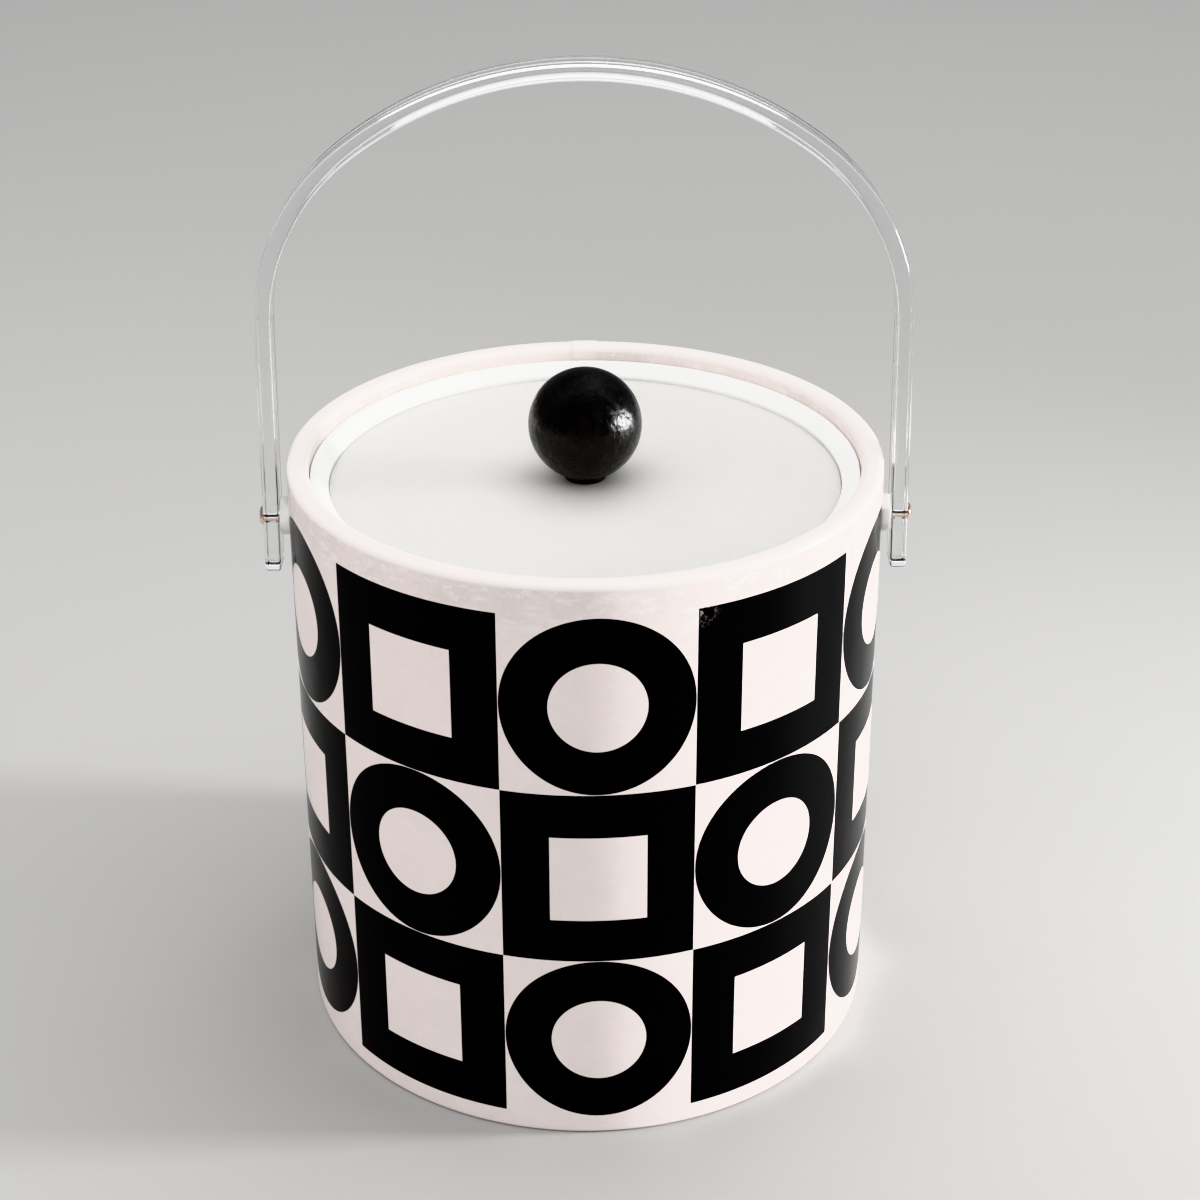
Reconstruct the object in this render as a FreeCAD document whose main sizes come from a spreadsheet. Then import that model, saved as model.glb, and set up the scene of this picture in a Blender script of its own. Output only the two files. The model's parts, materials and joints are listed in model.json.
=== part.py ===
import FreeCAD, Part
import math
import os
import Sketcher

# Insulated ice bucket with a lift-off lid and a swinging bail handle, in millimetres.
# Z is up and the origin is the middle of the footprint, on the surface the bucket stands on.
# The bail turns about a line along X, and the front of the bucket faces -Y.

doc = FreeCAD.newDocument("IceBucket")
sheet = doc.addObject("Spreadsheet::Sheet", "Sizes")

# Driving dimensions: alias, value, meaning.
SIZES = (
    ("body_diameter", 200.0, "outside of the covered body"),
    ("rim_height", 206.4, "table to the top of the rim"),
    ("wrap_thickness", 0.8, "printed vinyl cover"),
    ("shell_wall", 3.2, "fibreboard tube under the cover"),
    ("turn_under", 5.0, "width of cover folded under the tube"),
    ("base_round", 1.5, "outer radius of the folded bottom edge"),
    ("rim_width", 7.4, "rim from the outside to the recess wall"),
    ("rim_outer_round", 2.0, "outer top edge of the covered rim"),
    ("rim_inner_round", 2.6, "inner top edge of the covered rim"),
    ("shelf_width", 3.4, "inward shelf that carries the liner"),
    ("shelf_thickness", 2.5, "thickness of that shelf"),
    ("spigot_depth", 2.6, "how far the rim ring reaches into the tube"),
    ("spigot_wall", 2.9, "wall of the reach into the tube"),
    ("fit_gap", 0.2, "gap between a piece and the tube it drops into"),
    ("base_thickness", 4.1, "board that closes the bottom of the tube"),
    ("foot_width", 10.0, "width of the foot ring under the base"),
    ("foot_height", 1.6, "how far the base is hollowed inside the foot ring"),
    ("base_gap", 0.4, "between the foot and the folded cover"),
    ("ring_drop", 5.0, "rim top to the top of the liner's flange"),
    ("liner_gap", 0.25, "between the flange and the recess wall"),
    ("flange_width", 5.85, "flange from its edge to the lid's seat"),
    ("flange_land", 2.0, "flat top of the flange"),
    ("flange_depth", 3.5, "height of the flange's edge"),
    ("flange_round", 0.6, "edges of the flange"),
    ("lid_drop", 9.8, "rim top to the top of the lid"),
    ("lid_thickness", 3.2, "frosted lid"),
    ("lid_clearance", 0.35, "lid edge to its seat"),
    ("lid_round", 0.8, "top edge of the lid"),
    ("seat_rise", 1.0, "wall of the seat above the lid"),
    ("ledge_width", 3.2, "ledge that the lid rests on"),
    ("liner_wall", 1.8, "wall of the moulded liner"),
    ("liner_draft", 5.0, "how much the liner narrows to its floor"),
    ("floor_height", 16.0, "table to the liner's floor"),
    ("floor_round", 9.0, "inside round of the liner's floor"),
    ("insulation_gap", 0.3, "around and under the foam"),
    ("insulation_room", 1.0, "between the liner and the foam sleeve"),
    ("foam_room", 3.0, "between the foam sleeve and the washers above it"),
    ("pivot_drop", 23.8, "rim top to the bail's pivot line"),
    ("screw_diameter", 3.0, "pivot screw shank"),
    ("screw_clearance", 0.2, "radial, where the screw passes a fixed wall"),
    ("pivot_clearance", 0.08, "radial, where the bail turns on the screw"),
    ("screw_head_diameter", 6.4, "pivot screw head"),
    ("screw_head_height", 1.6, "pivot screw head"),
    ("screw_head_round", 0.9, "edges of all four screw heads"),
    ("screw_stickout", 1.0, "shank beyond the nut"),
    ("spacer_diameter", 13.0, "disc between the body and the bail"),
    ("spacer_thickness", 3.35, "disc between the body and the bail"),
    ("spacer_round", 0.5, "edges of that disc"),
    ("washer_diameter", 10.0, "backing washer inside the tube"),
    ("washer_thickness", 0.8, "backing washer inside the tube"),
    ("washer_room", 1.8, "between that washer and the rim ring above it"),
    ("nut_width", 7.0, "hexagon nut across its flats"),
    ("nut_thickness", 2.4, "hexagon nut"),
    ("bail_width", 13.0, "strap, along the swing"),
    ("bail_thickness", 5.4, "strap, across the swing"),
    ("bail_round", 1.2, "long edges of the strap"),
    ("bail_end_round", 1.8, "corners at the ends of the strap"),
    ("bail_side_gap", 0.25, "between the strap and its spacer"),
    ("bail_tail", 18.8, "strap below the pivot line"),
    ("spring_height", 70.9, "pivot line to the start of the bend"),
    ("leg_lean", 1.3, "how far each leg leans in over that height"),
    ("corner_radius", 77.0, "outer radius of the bends above the legs"),
    ("arch_flatness", 18.4, "crown radius beyond half the outer width"),
    ("head_gap", 0.2, "between the strap and the screw head"),
    ("knob_diameter", 38.1, "ball knob"),
    ("knob_flat_height", 2.0, "lid to the flat under the ball"),
    ("knob_flat_diameter", 15.5, "flat under the ball"),
    ("collar_diameter", 14.2, "turned collar under the ball"),
    ("knob_screw_diameter", 4.0, "screw that holds the knob"),
    ("knob_screw_reach", 14.0, "screw inside the ball"),
    ("knob_hole_room", 1.0, "hole beyond the end of that screw"),
    ("knob_head_diameter", 8.0, "head of the knob screw"),
    ("knob_head_height", 2.4, "head of the knob screw"),
    ("knob_washer_diameter", 14.0, "washer under the lid"),
    ("knob_washer_thickness", 1.0, "washer under the lid"),
)

for row, (alias, size, meaning) in enumerate(SIZES, start=1):
    sheet.set(f"A{row}", meaning)
    sheet.set(f"B{row}", str(size))
    sheet.setAlias(f"B{row}", alias)
doc.recompute()


def expression(template, **parts):
    """Fill {names} with earlier expressions, and S. with the sheet's name."""
    return "(" + template.format(**parts).replace("S.", "Sizes.") + ")"


# Radii and heights that several pieces share, as expressions of the sheet's cells.
OUTER = expression("S.body_diameter / 2")
TUBE_OUT = expression("{a} - S.wrap_thickness", a=OUTER)
TUBE_IN = expression("{a} - S.shell_wall", a=TUBE_OUT)
RIM_TOP = expression("S.rim_height")
RECESS = expression("{a} - S.rim_width", a=OUTER)
CORE_IN = expression("{a} + S.wrap_thickness", a=RECESS)
CORE_TOP = expression("{a} - S.wrap_thickness", a=RIM_TOP)
FLANGE_TOP = expression("{a} - S.ring_drop", a=RIM_TOP)
SHELF_TOP = expression("{a} - S.flange_depth", a=FLANGE_TOP)
LID_TOP = expression("{a} - S.lid_drop", a=RIM_TOP)
LID_UNDER = expression("{a} - S.lid_thickness", a=LID_TOP)
FLANGE_OUT = expression("{a} - S.liner_gap", a=RECESS)
SEAT = expression("{a} - S.flange_width", a=FLANGE_OUT)
LID_EDGE = expression("{a} - S.lid_clearance", a=SEAT)
CUP = expression("{a} - S.ledge_width", a=SEAT)
CUP_FLOOR = expression("{a} - S.liner_draft", a=CUP)
LINER_UNDER = expression("S.floor_height - S.liner_wall")
BASE_TOP = expression("S.wrap_thickness + S.base_thickness")
FOAM_OUT = expression("{a} - S.insulation_gap", a=TUBE_IN)
FOAM_IN = expression("{a} + S.liner_wall + S.insulation_room", a=CUP)
FOAM_FLOOR = expression("{a} - S.insulation_gap", a=LINER_UNDER)
PIVOT = expression("{a} - S.pivot_drop", a=RIM_TOP)
FOAM_TOP = expression("{a} - S.washer_diameter / 2 - S.foam_room", a=PIVOT)
SPIGOT_END = expression("{a} + S.washer_diameter / 2 + S.washer_room", a=PIVOT)
TUBE_TOP = expression("{a} + S.spigot_depth", a=SPIGOT_END)
SHANK = expression("S.screw_diameter / 2")
WALL_BORE = expression("{a} + S.screw_clearance", a=SHANK)
SPACER_FACE = expression("{a} + S.spacer_thickness", a=OUTER)
STRAP_IN = expression("{a} + S.bail_side_gap", a=SPACER_FACE)
HEAD_SEAT = expression("{a} + S.bail_thickness + S.head_gap", a=STRAP_IN)
WASHER_FACE = expression("sqrt({a} ^ 2 - (S.washer_diameter / 2) ^ 2)", a=TUBE_IN)
NUT_FACE = expression("{a} - S.washer_thickness", a=WASHER_FACE)
NUT_BACK = expression("{a} - S.nut_thickness", a=NUT_FACE)
KNOB_FLAT = expression("{a} + S.knob_flat_height", a=LID_TOP)
KNOB_RISE = expression("sqrt((S.knob_diameter / 2) ^ 2 - (S.knob_flat_diameter / 2) ^ 2)")
KNOB_MIDDLE = expression("{a} + {b}", a=KNOB_FLAT, b=KNOB_RISE)
KNOB_TOP = expression("{a} + S.knob_diameter / 2", a=KNOB_MIDDLE)
KNOB_SHANK = expression("S.knob_screw_diameter / 2")
KNOB_BORE = expression("{a} + S.screw_clearance", a=KNOB_SHANK)
SCREW_TOP = expression("{a} + S.knob_screw_reach", a=KNOB_FLAT)
KNOB_WASHER_UNDER = expression("{a} - S.knob_washer_thickness", a=LID_UNDER)

EDGE_MATCH = 0.01  # how closely an edge has to lie where a fillet expects it
nodes = []


def number(text):
    """The value of an expression."""
    result = sheet.evalExpression(text)
    return float(getattr(result, "Value", result))


def new_body(label):
    body = doc.addObject("PartDesign::Body", label)
    body.Label = label
    nodes.append(body)
    return body


def origin_plane(body, role):
    for feature in body.Origin.OriginFeatures:
        if feature.Role == role:
            return feature
    raise ValueError(f"{body.Label} has no {role}")


def new_sketch(body, name, role):
    sketch = body.newObject("Sketcher::SketchObject", name)
    sketch.AttachmentSupport = [(origin_plane(body, role), "")]
    sketch.MapMode = "FlatFace"
    return sketch


def pin_coordinate(sketch, kind, axis, geometry, vertex, text):
    """Tie one coordinate of a point to an expression; zero means on the sketch's own axis."""
    if text == "0":
        sketch.addConstraint(Sketcher.Constraint("PointOnObject", geometry, vertex, axis))
        return
    constraint = Sketcher.Constraint(kind, -1, 1, geometry, vertex, number(text))
    index = sketch.addConstraint(constraint)
    sketch.setExpression(f"Constraints[{index}]", text)


def pin_point(sketch, geometry, vertex, across, up, held="xy"):
    if "x" in held:
        pin_coordinate(sketch, "DistanceX", -2, geometry, vertex, across)
    if "y" in held:
        pin_coordinate(sketch, "DistanceY", -1, geometry, vertex, up)


def arc_about(centre, start, end):
    """Arc from start to end about a centre, counter-clockwise unless the short way is clockwise."""
    first = math.atan2(start.y - centre.y, start.x - centre.x)
    last = math.atan2(end.y - centre.y, end.x - centre.x)
    circle = Part.Circle(centre, FreeCAD.Vector(0, 0, 1), start.distanceToPoint(centre))
    if (last - first) % (2 * math.pi) < math.pi:
        return Part.ArcOfCircle(circle, first, last), False
    return Part.ArcOfCircle(circle, last, first), True


def draw_outline(sketch, corners, arcs=None):
    """Closed outline through corners given as (across, up) or (across, up, held) expressions.

    arcs maps a corner's index to the centre of the arc that leaves it. An arc's radius comes
    from the corner whose coordinates are both held, so its other end holds only one.
    """
    arcs = arcs or {}
    points = [FreeCAD.Vector(number(c[0]), number(c[1]), 0) for c in corners]
    count = len(points)
    ends = []
    for i, start in enumerate(points):
        end = points[(i + 1) % count]
        if i in arcs:
            centre = FreeCAD.Vector(number(arcs[i][0]), number(arcs[i][1]), 0)
            curve, backwards = arc_about(centre, start, end)
        else:
            curve, backwards = Part.LineSegment(start, end), False
        sketch.addGeometry(curve, False)
        ends.append((2, 1) if backwards else (1, 2))
    for i in range(count):
        following = (i + 1) % count
        joint = Sketcher.Constraint("Coincident", i, ends[i][1], following, ends[following][0])
        sketch.addConstraint(joint)
    for i, corner in enumerate(corners):
        held = corner[2] if len(corner) > 2 else "xy"
        pin_point(sketch, i, ends[i][0], corner[0], corner[1], held)
    for i, (across, up) in arcs.items():
        pin_point(sketch, i, 3, across, up)


def turn(body, corners, arcs=None):
    """Turn an outline in the XZ plane once round the body's own Z axis."""
    sketch = new_sketch(body, body.Label + "_outline", "XZ_Plane")
    draw_outline(sketch, corners, arcs)
    revolution = body.newObject("PartDesign::Revolution", body.Label + "_turned")
    revolution.Profile = sketch
    revolution.ReferenceAxis = (sketch, ["V_Axis"])
    revolution.Angle = 360
    body.Tip = revolution
    doc.recompute()
    return revolution


def round_edges(body, name, base, radius, wanted):
    """Fillet the edges of base that the test wanted accepts."""
    names = [f"Edge{i}" for i, edge in enumerate(base.Shape.Edges, start=1) if wanted(edge)]
    if not names:
        raise ValueError(f"{body.Label} has no edge for {name}")
    fillet = body.newObject("PartDesign::Fillet", f"{body.Label}_{name}")
    fillet.Base = (base, names)
    fillet.setExpression("Radius", radius)
    body.Tip = fillet
    doc.recompute()
    return fillet


def circle_at(*places):
    """A test for the circles about the Z axis at the given (radius, height) expressions."""
    targets = [(number(radius), number(height)) for radius, height in places]

    def wanted(edge):
        if edge.Curve.TypeId != "Part::GeomCircle":
            return False
        for radius, height in targets:
            same_radius = abs(edge.Curve.Radius - radius) < EDGE_MATCH
            same_height = abs(edge.Curve.Center.z - height) < EDGE_MATCH
            if same_radius and same_height:
                return True
        return False

    return wanted


def bore_across(body, name, radius, height):
    """Drill a round hole along X right through the body, both ways from the middle."""
    sketch = new_sketch(body, f"{body.Label}_{name}_circle", "YZ_Plane")
    circle = Part.Circle(FreeCAD.Vector(0, number(height), 0), FreeCAD.Vector(0, 0, 1), number(radius))
    sketch.addGeometry(circle, False)
    pin_point(sketch, 0, 3, "0", height)
    index = sketch.addConstraint(Sketcher.Constraint("Radius", 0, number(radius)))
    sketch.setExpression(f"Constraints[{index}]", radius)
    before = body.Shape.Volume
    pocket = body.newObject("PartDesign::Pocket", f"{body.Label}_{name}")
    pocket.Profile = sketch
    pocket.SideType = "Two sides"
    pocket.Type = "ThroughAll"
    pocket.Type2 = "ThroughAll"
    body.Tip = pocket
    doc.recompute()
    if body.Shape.Volume > before - 1:
        raise ValueError(f"{body.Label}: {name} removed nothing")
    return pocket


def turned_ring(label, inner, outer, low, high):
    """A plain ring, from its two radii and its two faces."""
    body = new_body(label)
    corners = ((inner, low), (outer, low), (outer, high), (inner, high))
    return body, turn(body, corners)


def face_outwards(piece, angle):
    """Lay a piece that was made along Z on the pivot line, pointing to +X (90) or -X (-90)."""
    piece.Placement = FreeCAD.Placement(
        FreeCAD.Vector(0, 0, number(PIVOT)),
        FreeCAD.Rotation(FreeCAD.Vector(0, 1, 0), angle),
    )
    piece.setExpression("Placement.Base.z", PIVOT)


def make_wrap():
    """Printed vinyl: folded under the tube, up its side, over the rim and down to the shelf."""
    body = new_body("vinyl_wrap")
    fold = expression("{a} - S.turn_under", a=OUTER)
    thickness = expression("S.wrap_thickness")
    corners = (
        (fold, "0"),
        (OUTER, "0"),
        (OUTER, RIM_TOP),
        (RECESS, RIM_TOP),
        (RECESS, SHELF_TOP),
        (CORE_IN, SHELF_TOP),
        (CORE_IN, CORE_TOP),
        (TUBE_OUT, CORE_TOP),
        (TUBE_OUT, thickness),
        (fold, thickness),
    )
    shape = turn(body, corners)
    rounds = (
        ("base_round", "S.base_round", OUTER, "0"),
        ("base_inner_round", "S.base_round - S.wrap_thickness", TUBE_OUT, thickness),
        ("rim_outer_round", "S.rim_outer_round", OUTER, RIM_TOP),
        ("core_outer_round", "S.rim_outer_round - S.wrap_thickness", TUBE_OUT, CORE_TOP),
        ("rim_inner_round", "S.rim_inner_round", RECESS, RIM_TOP),
        ("core_inner_round", "S.rim_inner_round - S.wrap_thickness", CORE_IN, CORE_TOP),
    )
    for name, radius, across, up in rounds:
        shape = round_edges(body, name, shape, expression(radius), circle_at((across, up)))
    bore_across(body, "screw_hole", WALL_BORE, PIVOT)


def make_shell():
    body, shape = turned_ring("shell_core", TUBE_IN, TUBE_OUT, "Sizes.wrap_thickness", TUBE_TOP)
    radius = expression("S.base_round - S.wrap_thickness")
    round_edges(body, "base_round", shape, radius, circle_at((TUBE_OUT, "Sizes.wrap_thickness")))
    bore_across(body, "screw_hole", WALL_BORE, PIVOT)


def make_rim_ring():
    """Ring inside the rim: rounded top, a shelf for the liner and a spigot into the tube."""
    body = new_body("rim_ring")
    shelf_in = expression("{a} - S.shelf_width", a=CORE_IN)
    shelf_under = expression("{a} - S.shelf_thickness", a=SHELF_TOP)
    spigot_out = expression("{a} - S.fit_gap", a=TUBE_IN)
    spigot_in = expression("{a} - S.spigot_wall", a=spigot_out)
    corners = (
        (CORE_IN, CORE_TOP),
        (CORE_IN, SHELF_TOP),
        (shelf_in, SHELF_TOP),
        (shelf_in, shelf_under),
        (spigot_in, shelf_under),
        (spigot_in, SPIGOT_END),
        (spigot_out, SPIGOT_END),
        (spigot_out, TUBE_TOP),
        (TUBE_OUT, TUBE_TOP),
        (TUBE_OUT, CORE_TOP),
    )
    shape = turn(body, corners)
    outer = expression("S.rim_outer_round - S.wrap_thickness")
    inner = expression("S.rim_inner_round - S.wrap_thickness")
    shape = round_edges(body, "outer_round", shape, outer, circle_at((TUBE_OUT, CORE_TOP)))
    round_edges(body, "inner_round", shape, inner, circle_at((CORE_IN, CORE_TOP)))


def make_liner():
    """White moulded cup: a flange that shows round the lid, the lid's seat and ledge, and the cup."""
    body = new_body("liner")
    land = expression("{a} - S.flange_land", a=FLANGE_OUT)
    seat_top = expression("{a} + S.seat_rise", a=LID_TOP)
    step_under = expression("{a} - S.liner_wall", a=LID_UNDER)
    step_out = expression("{a} + S.liner_wall", a=SEAT)
    wall_out = expression("{a} + S.liner_wall", a=CUP)
    floor_out = expression("{a} + S.liner_wall", a=CUP_FLOOR)
    floor = expression("S.floor_height")
    corners = (
        (FLANGE_OUT, SHELF_TOP),
        (FLANGE_OUT, FLANGE_TOP),
        (land, FLANGE_TOP),
        (SEAT, seat_top),
        (SEAT, LID_UNDER),
        (CUP, LID_UNDER),
        (CUP_FLOOR, floor),
        ("0", floor),
        ("0", LINER_UNDER),
        (floor_out, LINER_UNDER),
        (wall_out, step_under),
        (step_out, step_under),
        (step_out, SHELF_TOP),
    )
    shape = turn(body, corners)
    outer_floor = expression("S.floor_round + S.liner_wall")
    flange = expression("S.flange_round")
    floor_round = expression("S.floor_round")
    shape = round_edges(body, "floor_round", shape, floor_round, circle_at((CUP_FLOOR, floor)))
    shape = round_edges(body, "outer_floor_round", shape, outer_floor, circle_at((floor_out, LINER_UNDER)))
    crown = circle_at((FLANGE_OUT, FLANGE_TOP), (land, FLANGE_TOP))
    round_edges(body, "flange_round", shape, flange, crown)


def make_base():
    """Board in the bottom of the tube, standing on a foot ring inside the folded cover."""
    body = new_body("base_plate")
    foot_out = expression("{a} - S.turn_under - S.base_gap", a=OUTER)
    foot_in = expression("{a} - S.foot_width", a=foot_out)
    edge = expression("{a} - S.fit_gap", a=TUBE_IN)
    rest = expression("S.wrap_thickness")
    hollow = expression("S.foot_height")
    corners = (
        ("0", hollow),
        (foot_in, hollow),
        (foot_in, "0"),
        (foot_out, "0"),
        (foot_out, rest),
        (edge, rest),
        (edge, BASE_TOP),
        ("0", BASE_TOP),
    )
    turn(body, corners)


def make_insulation():
    turned_ring("insulation_sleeve", FOAM_IN, FOAM_OUT, FOAM_FLOOR, FOAM_TOP)
    disc = new_body("insulation_disc")
    turn(disc, (("0", BASE_TOP), (FOAM_OUT, BASE_TOP), (FOAM_OUT, FOAM_FLOOR), ("0", FOAM_FLOOR)))


def make_pivot(side, angle):
    """Spacer, washer, nut and screw on one side, made along Z and laid on the pivot line."""
    spacer_edge = expression("S.spacer_diameter / 2")
    spacer, shape = turned_ring(f"pivot_spacer_{side}", WALL_BORE, spacer_edge, OUTER, SPACER_FACE)
    both_edges = circle_at((spacer_edge, OUTER), (spacer_edge, SPACER_FACE))
    round_edges(spacer, "edge_round", shape, expression("S.spacer_round"), both_edges)

    washer_edge = expression("S.washer_diameter / 2")
    washer, _ = turned_ring(f"pivot_washer_{side}", WALL_BORE, washer_edge, NUT_FACE, WASHER_FACE)

    blank = doc.addObject("Part::Prism", f"pivot_nut_{side}_blank")
    blank.Polygon = 6
    blank.setExpression("Circumradius", expression("S.nut_width / 2 / cos(30)"))
    blank.setExpression("Height", expression("S.nut_thickness"))
    blank.setExpression("Placement.Base.z", NUT_BACK)
    drill = doc.addObject("Part::Cylinder", f"pivot_nut_{side}_drill")
    drill.setExpression("Radius", SHANK)
    drill.setExpression("Height", expression("S.nut_thickness"))
    drill.setExpression("Placement.Base.z", NUT_BACK)
    nut = doc.addObject("Part::Cut", f"pivot_nut_{side}")
    nut.Label = f"pivot_nut_{side}"
    nut.Base = blank
    nut.Tool = drill
    nodes.append(nut)

    screw = new_body(f"pivot_screw_{side}")
    head_edge = expression("S.screw_head_diameter / 2")
    head_top = expression("{a} + S.screw_head_height", a=HEAD_SEAT)
    end = expression("{a} - S.screw_stickout", a=NUT_BACK)
    corners = (
        ("0", end),
        (SHANK, end),
        (SHANK, HEAD_SEAT),
        (head_edge, HEAD_SEAT),
        (head_edge, head_top),
        ("0", head_top),
    )
    shape = turn(screw, corners)
    round_edges(screw, "head_round", shape, expression("S.screw_head_round"), circle_at((head_edge, head_top)))

    for piece in (spacer, washer, nut, screw):
        face_outwards(piece, angle)


def make_bail():
    """Clear strap: two legs leaning in a little, a bend above each, and a flatter crown.

    The right half is drawn and mirrored. The bend's centre lies on the normal to the leg at
    the bend's start, and the crown's centre on the middle line, so all three are tangent.
    """
    body = new_body("bail_handle")
    lean = expression("sqrt(S.leg_lean ^ 2 + S.spring_height ^ 2)")
    cosine = expression("S.spring_height / {a}", a=lean)
    sine = expression("S.leg_lean / {a}", a=lean)
    spring = expression("{a} + S.spring_height", a=PIVOT)
    inner_start = expression("{a} - S.leg_lean", a=STRAP_IN)
    thick_across = expression("S.bail_thickness * {a}", a=cosine)
    thick_up = expression("S.bail_thickness * {a}", a=sine)
    outer_start = expression("{a} + {b}", a=inner_start, b=thick_across)
    outer_start_up = expression("{a} + {b}", a=spring, b=thick_up)
    leg = expression("S.spring_height + S.bail_tail")
    inner_end = expression("{a} + {b} * {c}", a=inner_start, b=leg, c=sine)
    inner_end_up = expression("{a} - {b} * {c}", a=spring, b=leg, c=cosine)
    outer_end = expression("{a} + {b}", a=inner_end, b=thick_across)
    outer_end_up = expression("{a} + {b}", a=inner_end_up, b=thick_up)
    inner_bend = expression("S.corner_radius - S.bail_thickness")
    bend_across = expression("{a} - {b} * {c}", a=inner_start, b=inner_bend, c=cosine)
    bend_up = expression("{a} - {b} * {c}", a=spring, b=inner_bend, c=sine)
    crown = expression("{a} + S.arch_flatness", a=outer_start)
    between = expression("{a} - S.corner_radius", a=crown)
    crown_up = expression("{a} - sqrt({b} ^ 2 - {c} ^ 2)", a=bend_up, b=between, c=bend_across)
    outer_meet = expression("{a} * {b} / {c}", a=bend_across, b=crown, c=between)
    outer_meet_up = expression("{a} + ({b} - {a}) * {c} / {d}", a=crown_up, b=bend_up, c=crown, d=between)
    inner_crown = expression("{a} - S.bail_thickness", a=crown)
    inner_meet = expression("{a} * {b} / {c}", a=bend_across, b=inner_crown, c=between)
    inner_meet_up = expression("{a} + ({b} - {a}) * {c} / {d}", a=crown_up, b=bend_up, c=inner_crown, d=between)
    corners = (
        (outer_end, outer_end_up),
        (outer_start, outer_start_up),
        (outer_meet, outer_meet_up, "x"),
        ("0", expression("{a} + {b}", a=crown_up, b=crown), "x"),
        ("0", expression("{a} + {b}", a=crown_up, b=inner_crown), "x"),
        (inner_meet, inner_meet_up, "x"),
        (inner_start, spring),
        (inner_end, inner_end_up),
    )
    bend_centre = (bend_across, bend_up)
    crown_centre = ("0", crown_up)
    arcs = {1: bend_centre, 2: crown_centre, 4: crown_centre, 5: bend_centre}
    sketch = new_sketch(body, "bail_handle_outline", "XZ_Plane")
    draw_outline(sketch, corners, arcs)
    pad = body.newObject("PartDesign::Pad", "bail_handle_half")
    pad.Profile = sketch
    pad.SideType = "Symmetric"
    pad.setExpression("Length", expression("S.bail_width"))
    body.Tip = pad
    doc.recompute()
    mirrored = body.newObject("PartDesign::Mirrored", "bail_handle_both")
    mirrored.Originals = [pad]
    mirrored.MirrorPlane = (origin_plane(body, "YZ_Plane"), [""])
    body.Tip = mirrored
    doc.recompute()

    lowest = mirrored.Shape.BoundBox.ZMin
    half_width = number("Sizes.bail_width") / 2
    thickness = number("Sizes.bail_thickness")

    def end_corner(edge):
        """The edges across the strap's thickness, at the ends of the legs."""
        spots = [vertex.Point for vertex in edge.Vertexes]
        across = abs(spots[0].x - spots[-1].x) > thickness / 2
        return across and max(spot.z for spot in spots) < lowest + thickness

    shape = round_edges(body, "end_round", mirrored, expression("S.bail_end_round"), end_corner)

    def long_edge(edge):
        """The edges along the strap's side faces and round its ends, but not across it."""
        spots = [vertex.Point for vertex in edge.Vertexes]
        at_end = max(spot.z for spot in spots) < lowest + thickness
        if at_end:
            return abs(spots[0].x - spots[-1].x) < thickness / 2
        on_side = all(abs(abs(spot.y) - half_width) < EDGE_MATCH for spot in spots)
        crosses_middle = all(abs(spot.x) < EDGE_MATCH for spot in spots)
        return on_side and not crosses_middle

    shape = round_edges(body, "long_round", shape, expression("S.bail_round"), long_edge)
    bore_across(body, "pivot_bore", expression("{a} + S.pivot_clearance", a=SHANK), PIVOT)


def make_lid():
    body, shape = turned_ring("lid_disc", KNOB_BORE, LID_EDGE, LID_UNDER, LID_TOP)
    round_edges(body, "edge_round", shape, expression("S.lid_round"), circle_at((LID_EDGE, LID_TOP)))


def make_knob():
    """Turned ball on a short collar, held by a screw and washer from under the lid."""
    collar_edge = expression("S.collar_diameter / 2")
    turned_ring("knob_collar", KNOB_BORE, collar_edge, LID_TOP, KNOB_FLAT)

    ball = new_body("knob_ball")
    flat = expression("S.knob_flat_diameter / 2")
    hole_end = expression("{a} + S.knob_hole_room", a=SCREW_TOP)
    corners = (
        (KNOB_SHANK, KNOB_FLAT),
        (flat, KNOB_FLAT, "y"),
        ("0", KNOB_TOP),
        ("0", hole_end),
        (KNOB_SHANK, hole_end),
    )
    turn(ball, corners, {1: ("0", KNOB_MIDDLE)})

    washer_edge = expression("S.knob_washer_diameter / 2")
    turned_ring("knob_washer", KNOB_BORE, washer_edge, KNOB_WASHER_UNDER, LID_UNDER)

    screw = new_body("knob_screw")
    head_edge = expression("S.knob_head_diameter / 2")
    head_under = expression("{a} - S.knob_head_height", a=KNOB_WASHER_UNDER)
    corners = (
        ("0", head_under),
        (head_edge, head_under),
        (head_edge, KNOB_WASHER_UNDER),
        (KNOB_SHANK, KNOB_WASHER_UNDER),
        (KNOB_SHANK, SCREW_TOP),
        ("0", SCREW_TOP),
    )
    shape = turn(screw, corners)
    round_edges(screw, "head_round", shape, expression("S.screw_head_round"), circle_at((head_edge, head_under)))


make_wrap()
make_shell()
make_rim_ring()
make_liner()
make_base()
make_insulation()
for side_name, side_angle in (("right", 90), ("left", -90)):
    make_pivot(side_name, side_angle)
make_bail()
make_lid()
make_knob()
doc.recompute()

for feature in doc.Objects:
    if "Invalid" in feature.State or "Error" in feature.State:
        raise RuntimeError(f"{feature.Name} failed: {feature.State}")
for piece in nodes:
    if piece.Shape.isNull() or not piece.Shape.isValid() or len(piece.Shape.Solids) != 1:
        raise RuntimeError(f"{piece.Label} isn't one valid solid")

os.makedirs("parts", exist_ok=True)
for piece in nodes:
    piece.Shape.exportStep(f"parts/{piece.Label}.step")
    box = piece.Shape.optimalBoundingBox()
    low = f"{box.XMin:8.2f}{box.YMin:8.2f}{box.ZMin:8.2f}"
    high = f"{box.XMax:8.2f}{box.YMax:8.2f}{box.ZMax:8.2f}"
    print(f"{piece.Label:22s}{low}  {high}  {piece.Shape.Volume / 1000:9.3f} cm3")
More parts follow.
